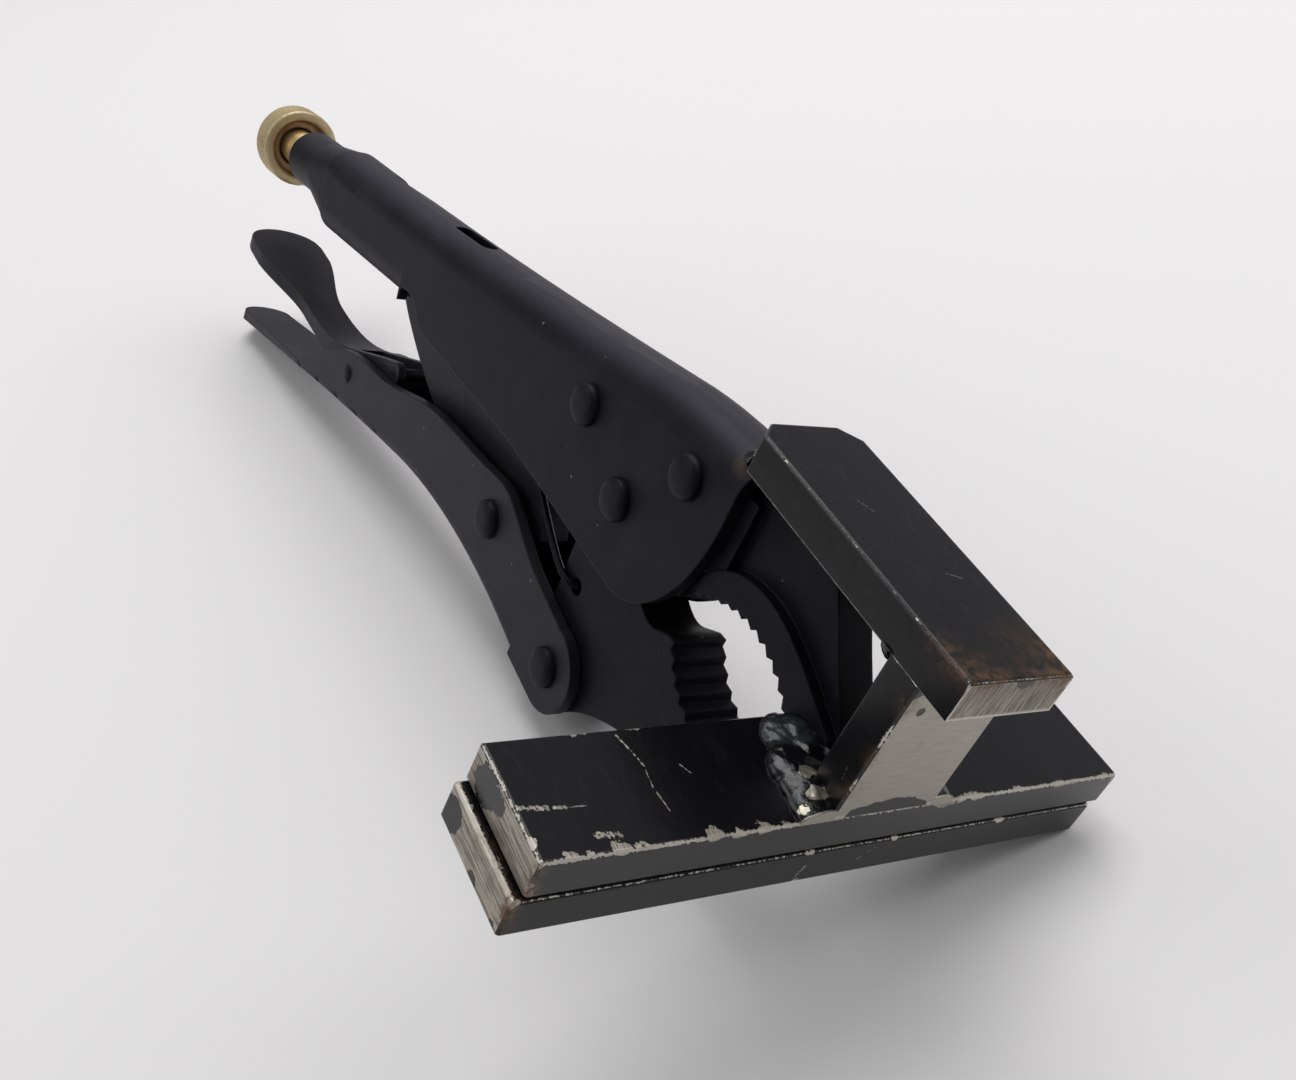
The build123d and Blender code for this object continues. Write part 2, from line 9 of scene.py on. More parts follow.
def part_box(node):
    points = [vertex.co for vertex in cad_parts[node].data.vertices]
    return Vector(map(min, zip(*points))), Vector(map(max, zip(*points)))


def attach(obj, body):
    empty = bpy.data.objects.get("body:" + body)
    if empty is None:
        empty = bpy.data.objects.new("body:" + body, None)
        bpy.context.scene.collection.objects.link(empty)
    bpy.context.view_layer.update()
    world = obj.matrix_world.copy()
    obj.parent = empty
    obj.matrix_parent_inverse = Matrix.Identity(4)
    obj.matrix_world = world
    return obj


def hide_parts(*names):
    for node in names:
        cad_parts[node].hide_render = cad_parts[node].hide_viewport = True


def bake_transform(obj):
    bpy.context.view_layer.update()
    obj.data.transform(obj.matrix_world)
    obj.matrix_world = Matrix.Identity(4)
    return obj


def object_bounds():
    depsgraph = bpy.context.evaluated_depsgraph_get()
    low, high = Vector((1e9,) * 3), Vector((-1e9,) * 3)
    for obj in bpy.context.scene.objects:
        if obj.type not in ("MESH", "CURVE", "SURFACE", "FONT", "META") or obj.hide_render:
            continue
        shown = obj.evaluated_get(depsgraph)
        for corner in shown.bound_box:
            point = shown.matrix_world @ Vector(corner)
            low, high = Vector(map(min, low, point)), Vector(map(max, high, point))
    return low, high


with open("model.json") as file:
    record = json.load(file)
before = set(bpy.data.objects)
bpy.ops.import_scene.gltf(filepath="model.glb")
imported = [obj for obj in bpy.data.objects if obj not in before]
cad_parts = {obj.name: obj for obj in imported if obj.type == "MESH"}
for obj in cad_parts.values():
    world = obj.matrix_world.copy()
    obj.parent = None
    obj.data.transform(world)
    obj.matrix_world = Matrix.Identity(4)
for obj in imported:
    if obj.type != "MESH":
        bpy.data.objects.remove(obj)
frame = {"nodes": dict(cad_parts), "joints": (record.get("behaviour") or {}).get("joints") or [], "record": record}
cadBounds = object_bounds()
nodes = frame["nodes"]
bodies = frame["record"]["behaviour"]["bodies"]
bodyOf = {node: body for body, members in bodies.items() for node in members}
jointAt = {joint["name"]: joint for joint in frame["joints"]}
mm = 0.001
weldDistance = 0.01 * mm       # points closer than this are made one


def toLinear(hexColour):
    # sRGB hex to the linear colour that a socket takes
    linear = []
    for start in (1, 3, 5):
        share = int(hexColour[start:start + 2], 16) / 255
        linear.append(share / 12.92 if share <= 0.04045 else ((share + 0.055) / 1.055) ** 2.4)
    return (*linear, 1.0)


def addNode(material, kind, values, output=None):
    # adds one node: a text key is a setting or a named socket, a number is a socket's place, and a value that
    # is itself a socket is linked
    node = material.node_tree.nodes.new("ShaderNode" + kind)
    for key, value in values.items():
        if isinstance(key, str) and hasattr(node, key):
            setattr(node, key, value)
            continue
        named = [socket for socket in node.inputs if socket.name == key and socket.enabled]
        socket = node.inputs[key] if isinstance(key, int) else named[0]
        if isinstance(value, bpy.types.NodeSocket):
            material.node_tree.links.new(value, socket)
        else:
            socket.default_value = value
    return next(s for s in node.outputs if s.enabled and output in (None, s.name))


def startMaterial(name):
    material = bpy.data.materials.new(name)
    material.use_nodes = True
    material.node_tree.nodes.clear()
    return material


def finishMaterial(material, shader):
    output = material.node_tree.nodes.new("ShaderNodeOutputMaterial")
    material.node_tree.links.new(shader, output.inputs["Surface"])
    return material


def dress(material, *names):
    # gives a CAD node its material
    for name in names:
        nodes[name].data.materials.clear()
        nodes[name].data.materials.append(material)


def toObject(shape, name, material, smooth=True):
    # turns a finished bmesh into an object at the origin
    mesh = bpy.data.meshes.new(name)
    shape.to_mesh(mesh)
    shape.free()
    mesh.materials.append(material)
    if smooth:
        mesh.shade_smooth()
    made = bpy.data.objects.new(name, mesh)
    bpy.context.scene.collection.objects.link(made)
    return made


def allOf(shape):
    return shape.verts[:] + shape.edges[:] + shape.faces[:]


def cutFlat(shape, place, outward):
    # cuts off what lies outward of a plane and closes the cut; returns the faces that close it
    cut = bmesh.ops.bisect_plane(shape, geom=allOf(shape), plane_co=place, plane_no=outward, clear_outer=True)
    rim = [edge for edge in cut["geom_cut"] if isinstance(edge, bmesh.types.BMEdge)]
    return bmesh.ops.holes_fill(shape, edges=rim, sides=0)["faces"]


def standFor(piece, node):
    # the piece is shown in place of a CAD node and moves with its body
    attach(piece, bodyOf[node])
    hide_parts(node)


# Black phosphate on the pressed and forged steel of the tool.
phosphate = {
    "colour": "#17161c",       # manganese phosphate, oiled: a dead black with a slight violet cast
    "worn": "#2f2d37",         # lighter coat: thin in patches and along edges, with a painted highlight on the edges; where rubbed is set, also painted light on upward faces
    "dust": "#6d6250",         # lint and grinding dust that sticks to the oil
    "burnt": "#43362b",        # coat burnt off beside a weld
    "burntAt": [],             # middle (mm), radius and strength of each burnt place
    "grain": 0.22,             # crystal size in mm, drawn a little coarse so that it shows
    "mottle": 9.0,             # size in mm of the uneven patches of the coat
    "dustSpacing": 4.5,        # mm between specks
    "dustSize": 0.16,          # speck radius in mm
    "edge": 0.45,              # mm over which a pressed edge rounds off
    "roughness": 0.5,
    "specular": 0.26,          # low, because the crystals trap the light
    "cast": "#f0eeff",         # slight violet of the film on the oil
    "haze": 0.3,               # how much the thin patches show
    "rubbed": 0.0,             # painted light: how much the faces turned toward the lit side are lightened toward the worn colour
    "paintedLightSide": (0, 0.2, 0.98),
    "bump": 0.16,
}


def toMm(material):
    # object coordinates in mm
    place = addNode(material, "TexCoord", {}, "Object")
    return addNode(material, "VectorMath", {"operation": "SCALE", "Scale": 1 / mm, 0: place})


def nearSpots(material, inMm, spots):
    # how far inside any of the spots a point is: 0 outside, up to each spot's strength at its middle
    total = None
    for spot, radius, strength in spots:
        gap = addNode(material, "VectorMath", {"operation": "DISTANCE", 0: inMm, 1: spot}, "Value")
        near = addNode(material, "MapRange", {
            "interpolation_type": "SMOOTHSTEP", "Value": gap, "From Min": radius, "From Max": 0.0,
            "To Max": strength})
        total = near if total is None else addNode(material, "Math", {"operation": "ADD", 0: total, 1: near})
    return total


def phosphatedSteel(name, look):
    # zinc or manganese phosphate over pressed sheet: matte crystals, soft grey sheen, bare of gloss
    material = startMaterial(name)
    inMm = toMm(material)
    crystals = addNode(material, "TexNoise", {
        "Vector": inMm, "Scale": 1 / look["grain"], "Detail": 3.0, "Roughness": 0.7})
    patches = addNode(material, "TexNoise", {
        "Vector": inMm, "Scale": 1 / look["mottle"], "Detail": 4.0, "Roughness": 0.6})
    specks = addNode(material, "TexVoronoi", {"Vector": inMm, "Scale": 1 / look["dustSpacing"]})
    cell = addNode(material, "VectorMath", {
        "operation": "SNAP", 0: specks.node.outputs["Position"], 1: (0.01, 0.01, 0.01)})
    chance = addNode(material, "TexWhiteNoise", {"Vector": cell}, "Value")
    size = addNode(material, "Math", {
        "operation": "MULTIPLY", 0: chance, 1: look["dustSize"] * 2 / look["dustSpacing"]})
    dusty = addNode(material, "Math", {"operation": "LESS_THAN", 0: specks.node.outputs["Distance"], 1: size})
    flat = addNode(material, "NewGeometry", {}, "Normal")
    rounded = addNode(material, "Bevel", {"samples": 6, "Radius": look["edge"] * mm})
    turned = addNode(material, "VectorMath", {"operation": "DOT_PRODUCT", 0: flat, 1: rounded}, "Value")
    edge = addNode(material, "MapRange", {"Value": turned, "From Min": 0.995, "From Max": 0.80})
    # edges are lightened toward the worn colour: a thinner coat there, and a painted highlight along the edge
    edgeWearAndHighlight = addNode(material, "Math", {"operation": "MULTIPLY", 0: edge, 1: patches})
    haze = addNode(material, "MapRange", {
        "Value": patches, "From Min": 0.38, "From Max": 0.68, "To Max": look["haze"]})
    lighter = addNode(material, "Math", {"operation": "ADD", "use_clamp": True, 0: edgeWearAndHighlight, 1: haze})
    # painted light: faces turned toward the given side are lightened, as if light fell on them
    if look["rubbed"]:
        upward = addNode(material, "VectorMath", {
            "operation": "DOT_PRODUCT", 0: rounded, 1: look["paintedLightSide"]}, "Value")
        paintedTopLight = addNode(material, "MapRange", {
            "Value": upward, "From Min": 0.2, "From Max": 1.0, "To Max": look["rubbed"]})
        lighter = addNode(material, "Math", {"operation": "ADD", "use_clamp": True, 0: lighter, 1: paintedTopLight})
    coat = addNode(material, "Mix", {
        "data_type": "RGBA", "Factor": lighter, "A": toLinear(look["colour"]), "B": toLinear(look["worn"])})
    if look["burntAt"]:
        burn = addNode(material, "Math", {
            "operation": "MULTIPLY", 0: nearSpots(material, inMm, look["burntAt"]), 1: patches})
        scorched = addNode(material, "MapRange", {"Value": burn, "From Min": 0.2, "From Max": 0.6})
        coat = addNode(material, "Mix", {
            "data_type": "RGBA", "Factor": scorched, "A": coat, "B": toLinear(look["burnt"])})
    colour = addNode(material, "Mix", {
        "data_type": "RGBA", "Factor": dusty, "A": coat, "B": toLinear(look["dust"])})
    roughness = addNode(material, "MapRange", {
        "Value": crystals, "From Min": 0.3, "From Max": 0.7, "To Min": look["roughness"] - 0.07,
        "To Max": look["roughness"] + 0.09})
    height = addNode(material, "Bump", {
        "Strength": look["bump"], "Distance": 0.05 * mm, "Height": crystals, "Normal": rounded})
    shader = addNode(material, "BsdfPrincipled", {
        "Base Color": colour, "Roughness": roughness, "Specular IOR Level": look["specular"],
        "Specular Tint": toLinear(look["cast"]), "Normal": height})
    return finishMaterial(material, shader)


pressed = phosphatedSteel("Black phosphate on pressed steel", phosphate)
dress(pressed, "moving_handle", "release_lever", "toggle_link")
# The fixed handle: a darker coat, browned where the weld burnt it, and painted light on its upward faces.
held = dict(phosphate, colour="#0d0c12", worn="#3c3a42", specular=0.16, haze=0.12, rubbed=0.75,
            burntAt=[((-48.0, -6.5, 29.5), 5.0, 1.4), ((-47.5, 6.0, 29.0), 5.0, 1.4)])
dress(phosphatedSteel("Black phosphate with painted light on top", held), "fixed_handle")
forged = dict(phosphate, colour="#0c0b0f", worn="#242328", specular=0.12, grain=0.35, roughness=0.46,
              bump=0.3, edge=0.5)
dress(phosphatedSteel("Black phosphate on forged steel", forged), "fixed_jaw", "moving_jaw")
pinned = dict(phosphate, colour="#0d0c10", worn="#2c2b30", specular=0.14, mottle=2.5, edge=0.3,
              roughness=0.46)
rivetCoat = phosphatedSteel("Black phosphate on rivet steel", pinned)
dress(rivetCoat, "release_lever_pin", "lever_nose_pin")

rivetHead = {
    "nodes": ["jaw_pivot_rivet", "fixed_jaw_rivet_rear", "fixed_jaw_rivet_front", "handle_pivot_rivet",
              "toggle_rivet"],
    "outline": [(1.0, 0.0), (1.0, 0.3), (0.98, 0.52), (0.93, 0.7), (0.84, 0.84), (0.72, 0.93), (0.55, 0.98),
                (0.3, 1.0), (0.0, 1.0)],
    "headStart": 7.3,          # mm from the middle plane to the plate that the head is set on
    "shank": 0.74,             # the shank's radius as a share of the head's
    "steps": 48,
}


def makeRivet(node):
    # the upset head's outline, as shares of its radius and height, is spun once and mirrored to the far side
    low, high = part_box(node)
    centre = (low + high) / 2
    radius = (high.x - low.x) / 2
    start = rivetHead["headStart"] * mm
    tall = high.y - start
    shape = bmesh.new()
    line = [shape.verts.new((radius * out, start + tall * up, 0)) for out, up in rivetHead["outline"]]
    edges = [shape.edges.new(pair) for pair in zip(line, line[1:])]
    bmesh.ops.spin(shape, geom=line + edges, cent=(0, 0, 0), axis=(0, 1, 0), angle=2 * math.pi,
                   steps=rivetHead["steps"], use_merge=True)
    bmesh.ops.remove_doubles(shape, verts=shape.verts, dist=weldDistance)
    rim = [edge for edge in shape.edges if edge.is_boundary]
    inner = bmesh.ops.extrude_edge_only(shape, edges=rim)["geom"]
    inner = [vert for vert in inner if isinstance(vert, bmesh.types.BMVert)]
    bmesh.ops.translate(shape, verts=inner, vec=(0, -start, 0))
    bmesh.ops.scale(shape, verts=inner, vec=(rivetHead["shank"], 1, rivetHead["shank"]))
    bmesh.ops.mirror(shape, geom=allOf(shape), axis="Y", merge_dist=weldDistance)
    bmesh.ops.recalc_face_normals(shape, faces=shape.faces)
    bmesh.ops.translate(shape, verts=shape.verts, vec=(centre.x, 0, centre.z))
    standFor(toObject(shape, node + "_domed", rivetCoat), node)


for node in rivetHead["nodes"]:
    makeRivet(node)
print("black phosphate on handles, jaws and rivets")


# Gloss black enamel over hot-rolled bar, chipped back to steel.
enamel = {
    "paint": "#09090d",        # brushed-on gloss enamel, blue-black
    "scuff": "#2b2a31",        # dull rubbed paint
    "steelDark": "#514b44",    # oil and scale left in the saw marks
    "burnished": "#d9d4ca",    # rubbed bright along an edge
    "rust": "#63472f",
    "steelRoughness": 0.4,
    "rounding": 0.35,          # mm over which an edge rounds off
    "marks": 0.35,             # mm between saw marks
    "broad": 0.12,             # per mm, how often the wear along an edge swells and fades
    "chip": 2.6,               # mm, size of a paint flake
    "nick": 0.5,               # mm, size of the small nicks along an edge
    "bloom": 1.5,              # mm, size of the rust blooms
    "paintThickness": 0.1,     # mm
}


def edgeDistance(material, inMm, node):
    # distance in mm from a point on a bar's surface to the nearest of the bar's edges
    low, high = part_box(node)
    fromCentre = addNode(material, "VectorMath", {"operation": "SUBTRACT", 0: inMm, 1: (low + high) / 2 / mm})
    inside = addNode(material, "VectorMath", {"operation": "ABSOLUTE", 0: fromCentre})
    depth = addNode(material, "VectorMath", {"operation": "SUBTRACT", 0: (high - low) / 2 / mm, 1: inside})
    depths = addNode(material, "SeparateXYZ", {"Vector": depth}).node.outputs
    lesser = addNode(material, "Math", {"operation": "MINIMUM", 0: depths[0], 1: depths[1]})
    greater = addNode(material, "Math", {"operation": "MAXIMUM", 0: depths[0], 1: depths[1]})
    second = addNode(material, "Math", {"operation": "MINIMUM", 0: greater, 1: depths[2]})
    return addNode(material, "Math", {"operation": "MAXIMUM", 0: lesser, 1: second})


def alongEdges(material, inMm, edges):
    # width in mm of the worn line beside each named edge; the mask leaves out the way that the edge runs
    total = None
    for mask, point, width in edges:
        across = addNode(material, "VectorMath", {"operation": "MULTIPLY", 0: inMm, 1: mask})
        point = [place * used for place, used in zip(point, mask)]
        gap = addNode(material, "VectorMath", {"operation": "DISTANCE", 0: across, 1: point}, "Value")
        near = addNode(material, "MapRange", {
            "Value": gap, "From Min": 1.8, "From Max": 0.6, "To Max": width})
        total = near if total is None else addNode(material, "Math", {
            "operation": "MAXIMUM", 0: total, 1: near})
    return total


def onScratches(material, inMm, scratches, raggedness):
    # 1 within a scratch's half width of its line, cut ragged, and 0 elsewhere
    total = None
    for start, end, thick in scratches:
        start, end = Vector(start), Vector(end)
        along = end - start
        offset = addNode(material, "VectorMath", {"operation": "SUBTRACT", 0: inMm, 1: start})
        share = addNode(material, "VectorMath", {
            "operation": "DOT_PRODUCT", 0: offset, 1: along / along.length_squared}, "Value")
        clamped = addNode(material, "Clamp", {"Value": share})
        nearest = addNode(material, "VectorMath", {"operation": "SCALE", 0: along, "Scale": clamped})
        gap = addNode(material, "VectorMath", {"operation": "DISTANCE", 0: offset, 1: nearest}, "Value")
        room = addNode(material, "Math", {"operation": "MULTIPLY", 0: raggedness, 1: thick})
        line = addNode(material, "Math", {"operation": "LESS_THAN", 0: gap, 1: room})
        total = line if total is None else addNode(material, "Math", {
            "operation": "MAXIMUM", 0: total, 1: line})
    return total


def enamelOverSteel(name, node, wear):
    # glossy enamel chips in flakes from the edges and shows scratched steel, with brown rust beside it
    material = startMaterial(name)
    inMm = toMm(material)
    toEdge = edgeDistance(material, inMm, node)
    flakes = addNode(material, "TexNoise", {
        "Vector": inMm, "Scale": 1 / enamel["chip"], "Detail": 5.0, "Roughness": 0.6})
    nicks = addNode(material, "TexNoise", {
        "Vector": inMm, "Scale": 1 / enamel["nick"], "Detail": 3.0, "Roughness": 0.6})
    broad = addNode(material, "TexNoise", {
        "Vector": inMm, "Scale": enamel["broad"], "Detail": 3.0, "Roughness": 0.55})

    # wear in mm of width at an edge: a fine rubbed line all along, and flakes cut by noise at the named spots
    nick = addNode(material, "MapRange", {"Value": nicks, "From Min": 0.35, "From Max": 0.65, "To Min": 0.5})
    reach = addNode(material, "MapRange", {
        "Value": broad, "From Min": 0.35, "From Max": 0.65, "To Min": wear["edge"] * 0.4,
        "To Max": wear["edge"] * 1.6})
    if wear["chips"]:
        reach = addNode(material, "Math", {
            "operation": "ADD", 0: reach, 1: nearSpots(material, inMm, wear["chips"])})
    flake = addNode(material, "MapRange", {"Value": flakes, "From Min": 0.38, "From Max": 0.55})
    ragged = addNode(material, "Math", {"operation": "MULTIPLY", 0: flake, 1: nick})
    width = addNode(material, "Math", {"operation": "MULTIPLY", 0: reach, 1: ragged})
    line = addNode(material, "Math", {
        "operation": "MULTIPLY", 0: alongEdges(material, inMm, wear["lines"]), 1: nick})
    width = addNode(material, "Math", {"operation": "MAXIMUM", 0: width, 1: line})
    excess = addNode(material, "Math", {"operation": "SUBTRACT", 0: width, 1: toEdge})
    bare = addNode(material, "MapRange", {"Value": excess, "From Min": -0.03, "From Max": 0.03})
    if wear["scratches"]:
        broken = addNode(material, "MapRange", {
            "Value": nicks, "From Min": 0.4, "From Max": 0.55, "To Max": 1.1})
        scratched = onScratches(material, inMm, wear["scratches"], broken)
        bare = addNode(material, "Math", {"operation": "MAXIMUM", 0: bare, 1: scratched})

    # faces that were sawn or ground bare, with islands of paint left on them
    normal = addNode(material, "NewGeometry", {}, "Normal")
    for facing, paintLeft in wear["bareFaces"]:
        toward = addNode(material, "VectorMath", {"operation": "DOT_PRODUCT", 0: normal, 1: facing}, "Value")
        face = addNode(material, "Math", {"operation": "GREATER_THAN", 0: toward, 1: 0.8})
        patch = addNode(material, "Math", {
            "operation": "ADD", 0: nearSpots(material, inMm, paintLeft), 1: flakes})
        patch = addNode(material, "Math", {"operation": "MULTIPLY_ADD", 0: nicks, 1: 0.5, 2: patch})
        kept = addNode(material, "Math", {"operation": "LESS_THAN", 0: patch, 1: 1.2})
        face = addNode(material, "Math", {"operation": "MULTIPLY", 0: face, 1: kept})
        bare = addNode(material, "Math", {"operation": "MAXIMUM", 0: bare, 1: face})

    # saw or grinding marks run one way over the bare steel
    stretched = addNode(material, "Mapping", {"Vector": inMm, "Scale": wear["marksStretch"]})
    marks = addNode(material, "TexNoise", {
        "Vector": stretched, "Scale": 1 / enamel["marks"], "Detail": 4.0, "Roughness": 0.7})
    dark = addNode(material, "MapRange", {
        "Value": marks, "From Min": 0.42, "From Max": 0.66, "To Max": wear["marksContrast"]})
    steel = addNode(material, "Mix", {
        "data_type": "RGBA", "Factor": dark, "A": toLinear(wear["steel"]),
        "B": toLinear(enamel["steelDark"])})
    byEdge = addNode(material, "MapRange", {
        "Value": toEdge, "From Min": 0.15, "From Max": 0.6, "To Min": 0.8, "To Max": 0.0})
    steel = addNode(material, "Mix", {
        "data_type": "RGBA", "Factor": byEdge, "A": steel, "B": toLinear(enamel["burnished"])})

    # rust bleeds out of the bare steel and stains the paint at some corners
    faint = addNode(material, "MapRange", {"Value": broad, "From Min": 0.56, "From Max": 0.74, "To Max": 0.3})
    bloom = addNode(material, "TexNoise", {
        "Vector": inMm, "Scale": 1 / enamel["bloom"], "Detail": 6.0, "Roughness": 0.75})
    bloom = addNode(material, "MapRange", {"Value": bloom, "From Min": 0.4, "From Max": 0.62})
    bleed = addNode(material, "MapRange", {
        "Value": toEdge, "From Min": 0.8, "From Max": 2.5, "To Min": 1.0, "To Max": 0.4})
    bloom = addNode(material, "Math", {"operation": "MULTIPLY", 0: bloom, 1: bleed})
    rusty = addNode(material, "Math", {
        "operation": "MULTIPLY", "use_clamp": True, 0: nearSpots(material, inMm, wear["rust"]), 1: bloom})
    onSteel = addNode(material, "Math", {"operation": "MAXIMUM", 0: faint, 1: rusty})
    steelStained = addNode(material, "Mix", {
        "data_type": "RGBA", "Factor": onSteel, "A": steel, "B": toLinear(enamel["rust"])})
    smears = addNode(material, "Mapping", {
        "Vector": inMm, "Rotation": (0.0, 0.0, 0.6), "Scale": (0.3, 1.6, 1.0)})
    rubbed = addNode(material, "TexNoise", {
        "Vector": smears, "Scale": 0.55, "Detail": 6.0, "Roughness": 0.75})
    dull = addNode(material, "MapRange", {
        "Value": rubbed, "From Min": 0.52, "From Max": 0.80, "To Max": wear["scuff"]})
    paint = addNode(material, "Mix", {
        "data_type": "RGBA", "Factor": dull, "A": toLinear(enamel["paint"]), "B": toLinear(enamel["scuff"])})
    onPaint = addNode(material, "Math", {"operation": "MULTIPLY", 0: rusty, 1: 0.75})
    paintStained = addNode(material, "Mix", {
        "data_type": "RGBA", "Factor": onPaint, "A": paint, "B": toLinear(enamel["rust"])})
    colour = addNode(material, "Mix", {
        "data_type": "RGBA", "Factor": bare, "A": paintStained, "B": steelStained})

    paintRough = addNode(material, "Math", {"operation": "MULTIPLY_ADD", 0: dull, 1: 0.8, 2: wear["gloss"]})
    steelRough = addNode(material, "Math", {
        "operation": "MULTIPLY_ADD", 0: dark, 1: 0.2, 2: enamel["steelRoughness"]})
    roughness = addNode(material, "Mix", {"Factor": bare, "A": paintRough, "B": steelRough})
    clean = addNode(material, "MapRange", {"Value": rusty, "To Min": 0.85, "To Max": 0.0})
    metal = addNode(material, "Math", {"operation": "MULTIPLY", 0: bare, 1: clean})

    # paint stands a little proud of the steel, and both have their own fine relief
    paintHeight = addNode(material, "Math", {
        "operation": "MULTIPLY_ADD", 0: flakes, 1: 0.05, 2: enamel["paintThickness"]})
    steelHeight = addNode(material, "Math", {"operation": "MULTIPLY", 0: marks, 1: wear["marksDepth"]})
    height = addNode(material, "Mix", {"Factor": bare, "A": paintHeight, "B": steelHeight})
    rounded = addNode(material, "Bevel", {"samples": 6, "Radius": enamel["rounding"] * mm})
    relief = addNode(material, "Bump", {"Strength": 0.6, "Distance": mm, "Height": height, "Normal": rounded})
    shader = addNode(material, "BsdfPrincipled", {
        "Base Color": colour, "Metallic": metal, "Roughness": roughness,
        "Specular IOR Level": wear["specular"], "Normal": relief})
    return finishMaterial(material, shader)


# Places are in mm. A line is a mask, a point on the edge and a width; a spot its middle, radius and strength;
# a scratch its two ends and its half width; a bare face its direction and the spots of paint left on it.
barWear = {
    "steel": "#b5aea4",        # bare mild steel, sawn or ground
    "scuff": 0.12,             # how dull the rubbed patches are
    "gloss": 0.2,              # roughness of sound paint
    "marksStretch": (0.06, 1.0, 1.2),
    "marksContrast": 0.9,
    "marksDepth": 0.05,        # mm
}
upperBarWear = dict(
    barWear, edge=0.1, specular=0.5,
    lines=[((1, 0, 1), (0, 0, 6.4), 0.5), ((0, 1, 1), (0, -53.6, 6.4), 0.42),
           ((1, 0, 1), (-19.1, 0, 6.4), 0.22), ((0, 1, 1), (0, 50.9, 6.4), 0.35),
           ((0, 1, 1), (0, -53.6, 0), 0.3)],
    chips=[((-1.4, -49.5, 6.4), 2.2, 2.6), ((-1.2, -46.2, 6.4), 1.7, 2.8), ((-1.6, -42.3, 6.4), 2.4, 4.0),
           ((-0.8, -39.4, 6.4), 1.6, 2.0), ((-1.3, -28.4, 6.4), 2.4, 3.0), ((-0.8, -24.8, 6.4), 2.6, 1.6),
           ((-1.0, -21.0, 6.4), 2.4, 2.4), ((-0.6, -17.5, 6.4), 2.4, 1.6), ((-3.5, -53.6, 6.4), 1.6, 3.0),
           ((0, 50, 6.4), 5.0, 1.6), ((0, 12.8, 6.4), 3.8, 2.6), ((0, 18, 6.4), 4.0, 1.4),
           ((0, 27, 6.4), 3.0, 1.4), ((0, 38, 6.4), 5.0, 1.2), ((-19, -40, 6.4), 2.4, 1.4),
           ((-19, -31, 6.4), 2.0, 1.4), ((0, -53.6, 1.0), 3.0, 1.2)],
    scratches=[((-8.3, -53.1, 6.45), (-7.8, -49.4, 6.45), 0.42),
               ((-7.7, -48.4, 6.45), (-7.5, -46.9, 6.45), 0.3),
               ((-7.5, -46.4, 6.45), (-7.4, -44.0, 6.45), 0.1),
               ((-2.9, -44.6, 6.45), (-2.5, -41.7, 6.45), 0.5),
               ((-17.9, -34.4, 6.45), (-14.9, -33.5, 6.45), 0.16),
               ((-14.6, -33.4, 6.45), (-12.4, -32.9, 6.45), 0.16),
               ((-11.8, -33.0, 6.45), (-8.9, -33.4, 6.45), 0.1),
               ((-8.2, -33.3, 6.45), (-5.0, -32.9, 6.45), 0.1),
               ((-12.0, -27.5, 6.45), (-10.4, -26.6, 6.45), 0.1)],
    bareFaces=[((0, -1, 0), [((-14.8, -53.6, 3.4), 5.2, 1.1), ((-10.5, -53.6, 4.5), 2.6, 0.8)]),
               ((0, 1, 0), [((-9, 50.9, 3.2), 6.0, 0.7)])],
    rust=[((0, -53.6, 1.0), 3.4, 1.6), ((0, -53.6, 4.5), 2.4, 1.3), ((0, 50.9, 3.0), 4.0, 1.2),
          ((-9, -53.6, 0.5), 6.0, 0.5)])
lowerBarWear = dict(
    barWear, edge=0.08, specular=0.3,
    lines=[((1, 0, 1), (0, 0, 0), 0.3), ((0, 1, 1), (0, -55.1, 0), 0.9), ((0, 1, 1), (0, 49.3, 0), 0.5)],
    chips=[((-0.4, 28.4, -0.2), 1.6, 2.4), ((-0.4, 6.4, -0.2), 1.3, 2.2), ((-0.4, -9.5, -0.2), 1.4, 2.0),
           ((0, -9.0, -5.4), 1.8, 1.2), ((-6, -55.1, 0), 5.0, 1.2), ((-14, -55.1, 0), 5.0, 1.0)],
    scratches=[((0.1, 3.6, -1.2), (0.1, 1.0, -3.6), 0.12), ((0.1, -8.8, -3.0), (0.1, -9.6, -5.2), 0.2)],
    bareFaces=[((0, -1, 0), [((-16.6, -55.1, -3.8), 4.6, 1.3), ((-8, -55.1, -6.0), 2.6, 0.8),
                             ((-1.5, -55.1, -6), 1.6, 0.8)]),
               ((0, 1, 0), [((-9, 49.3, -3.2), 6.0, 0.7)])],
    rust=[((0, -55.1, -3.0), 3.6, 1.6), ((0, -55.1, -0.5), 2.4, 1.3), ((-8, -55.1, 0), 8.0, 0.5),
          ((0, 49.3, -3.0), 4.0, 1.2)])
braceWear = dict(
    barWear, steel="#989188", edge=0.06, gloss=0.24, specular=0.4,
    lines=[((0, 1, 1), (0, -9.5, 37.1), 0.22), ((1, 0, 1), (5.6, 0, 37.1), 0.28),
           ((0, 1, 1), (0, -9.5, 30.8), 0.08)],
    chips=[((-20, -9.5, 37.1), 5.0, 0.3), ((-38, -9.5, 37.1), 5.0, 0.3), ((-6, -9.5, 37.1), 4.0, 0.3)],
    scratches=[((-30.0, -3.0, 37.1), (-26.5, -1.0, 37.1), 0.07),
               ((-14.0, 2.0, 37.1), (-12.8, 4.6, 37.1), 0.08)],
    bareFaces=[((1, 0, 0), [((5.6, 0.8, 36.9), 2.6, 1.6)])],
    rust=[((0.5, 5.5, 37.1), 9.0, 0.9), ((3.6, 8.0, 37.1), 6.0, 1.1), ((4.2, -5.5, 37.1), 6.5, 1.3),
          ((0, -8.5, 37.1), 6.0, 0.7), ((5.6, 2.5, 37.1), 4.5, 0.9), ((5.6, 8.5, 35.0), 3.0, 1.2)],
    marksStretch=(1.0, 1.0, 0.07), marksContrast=1.0, marksDepth=0.06)
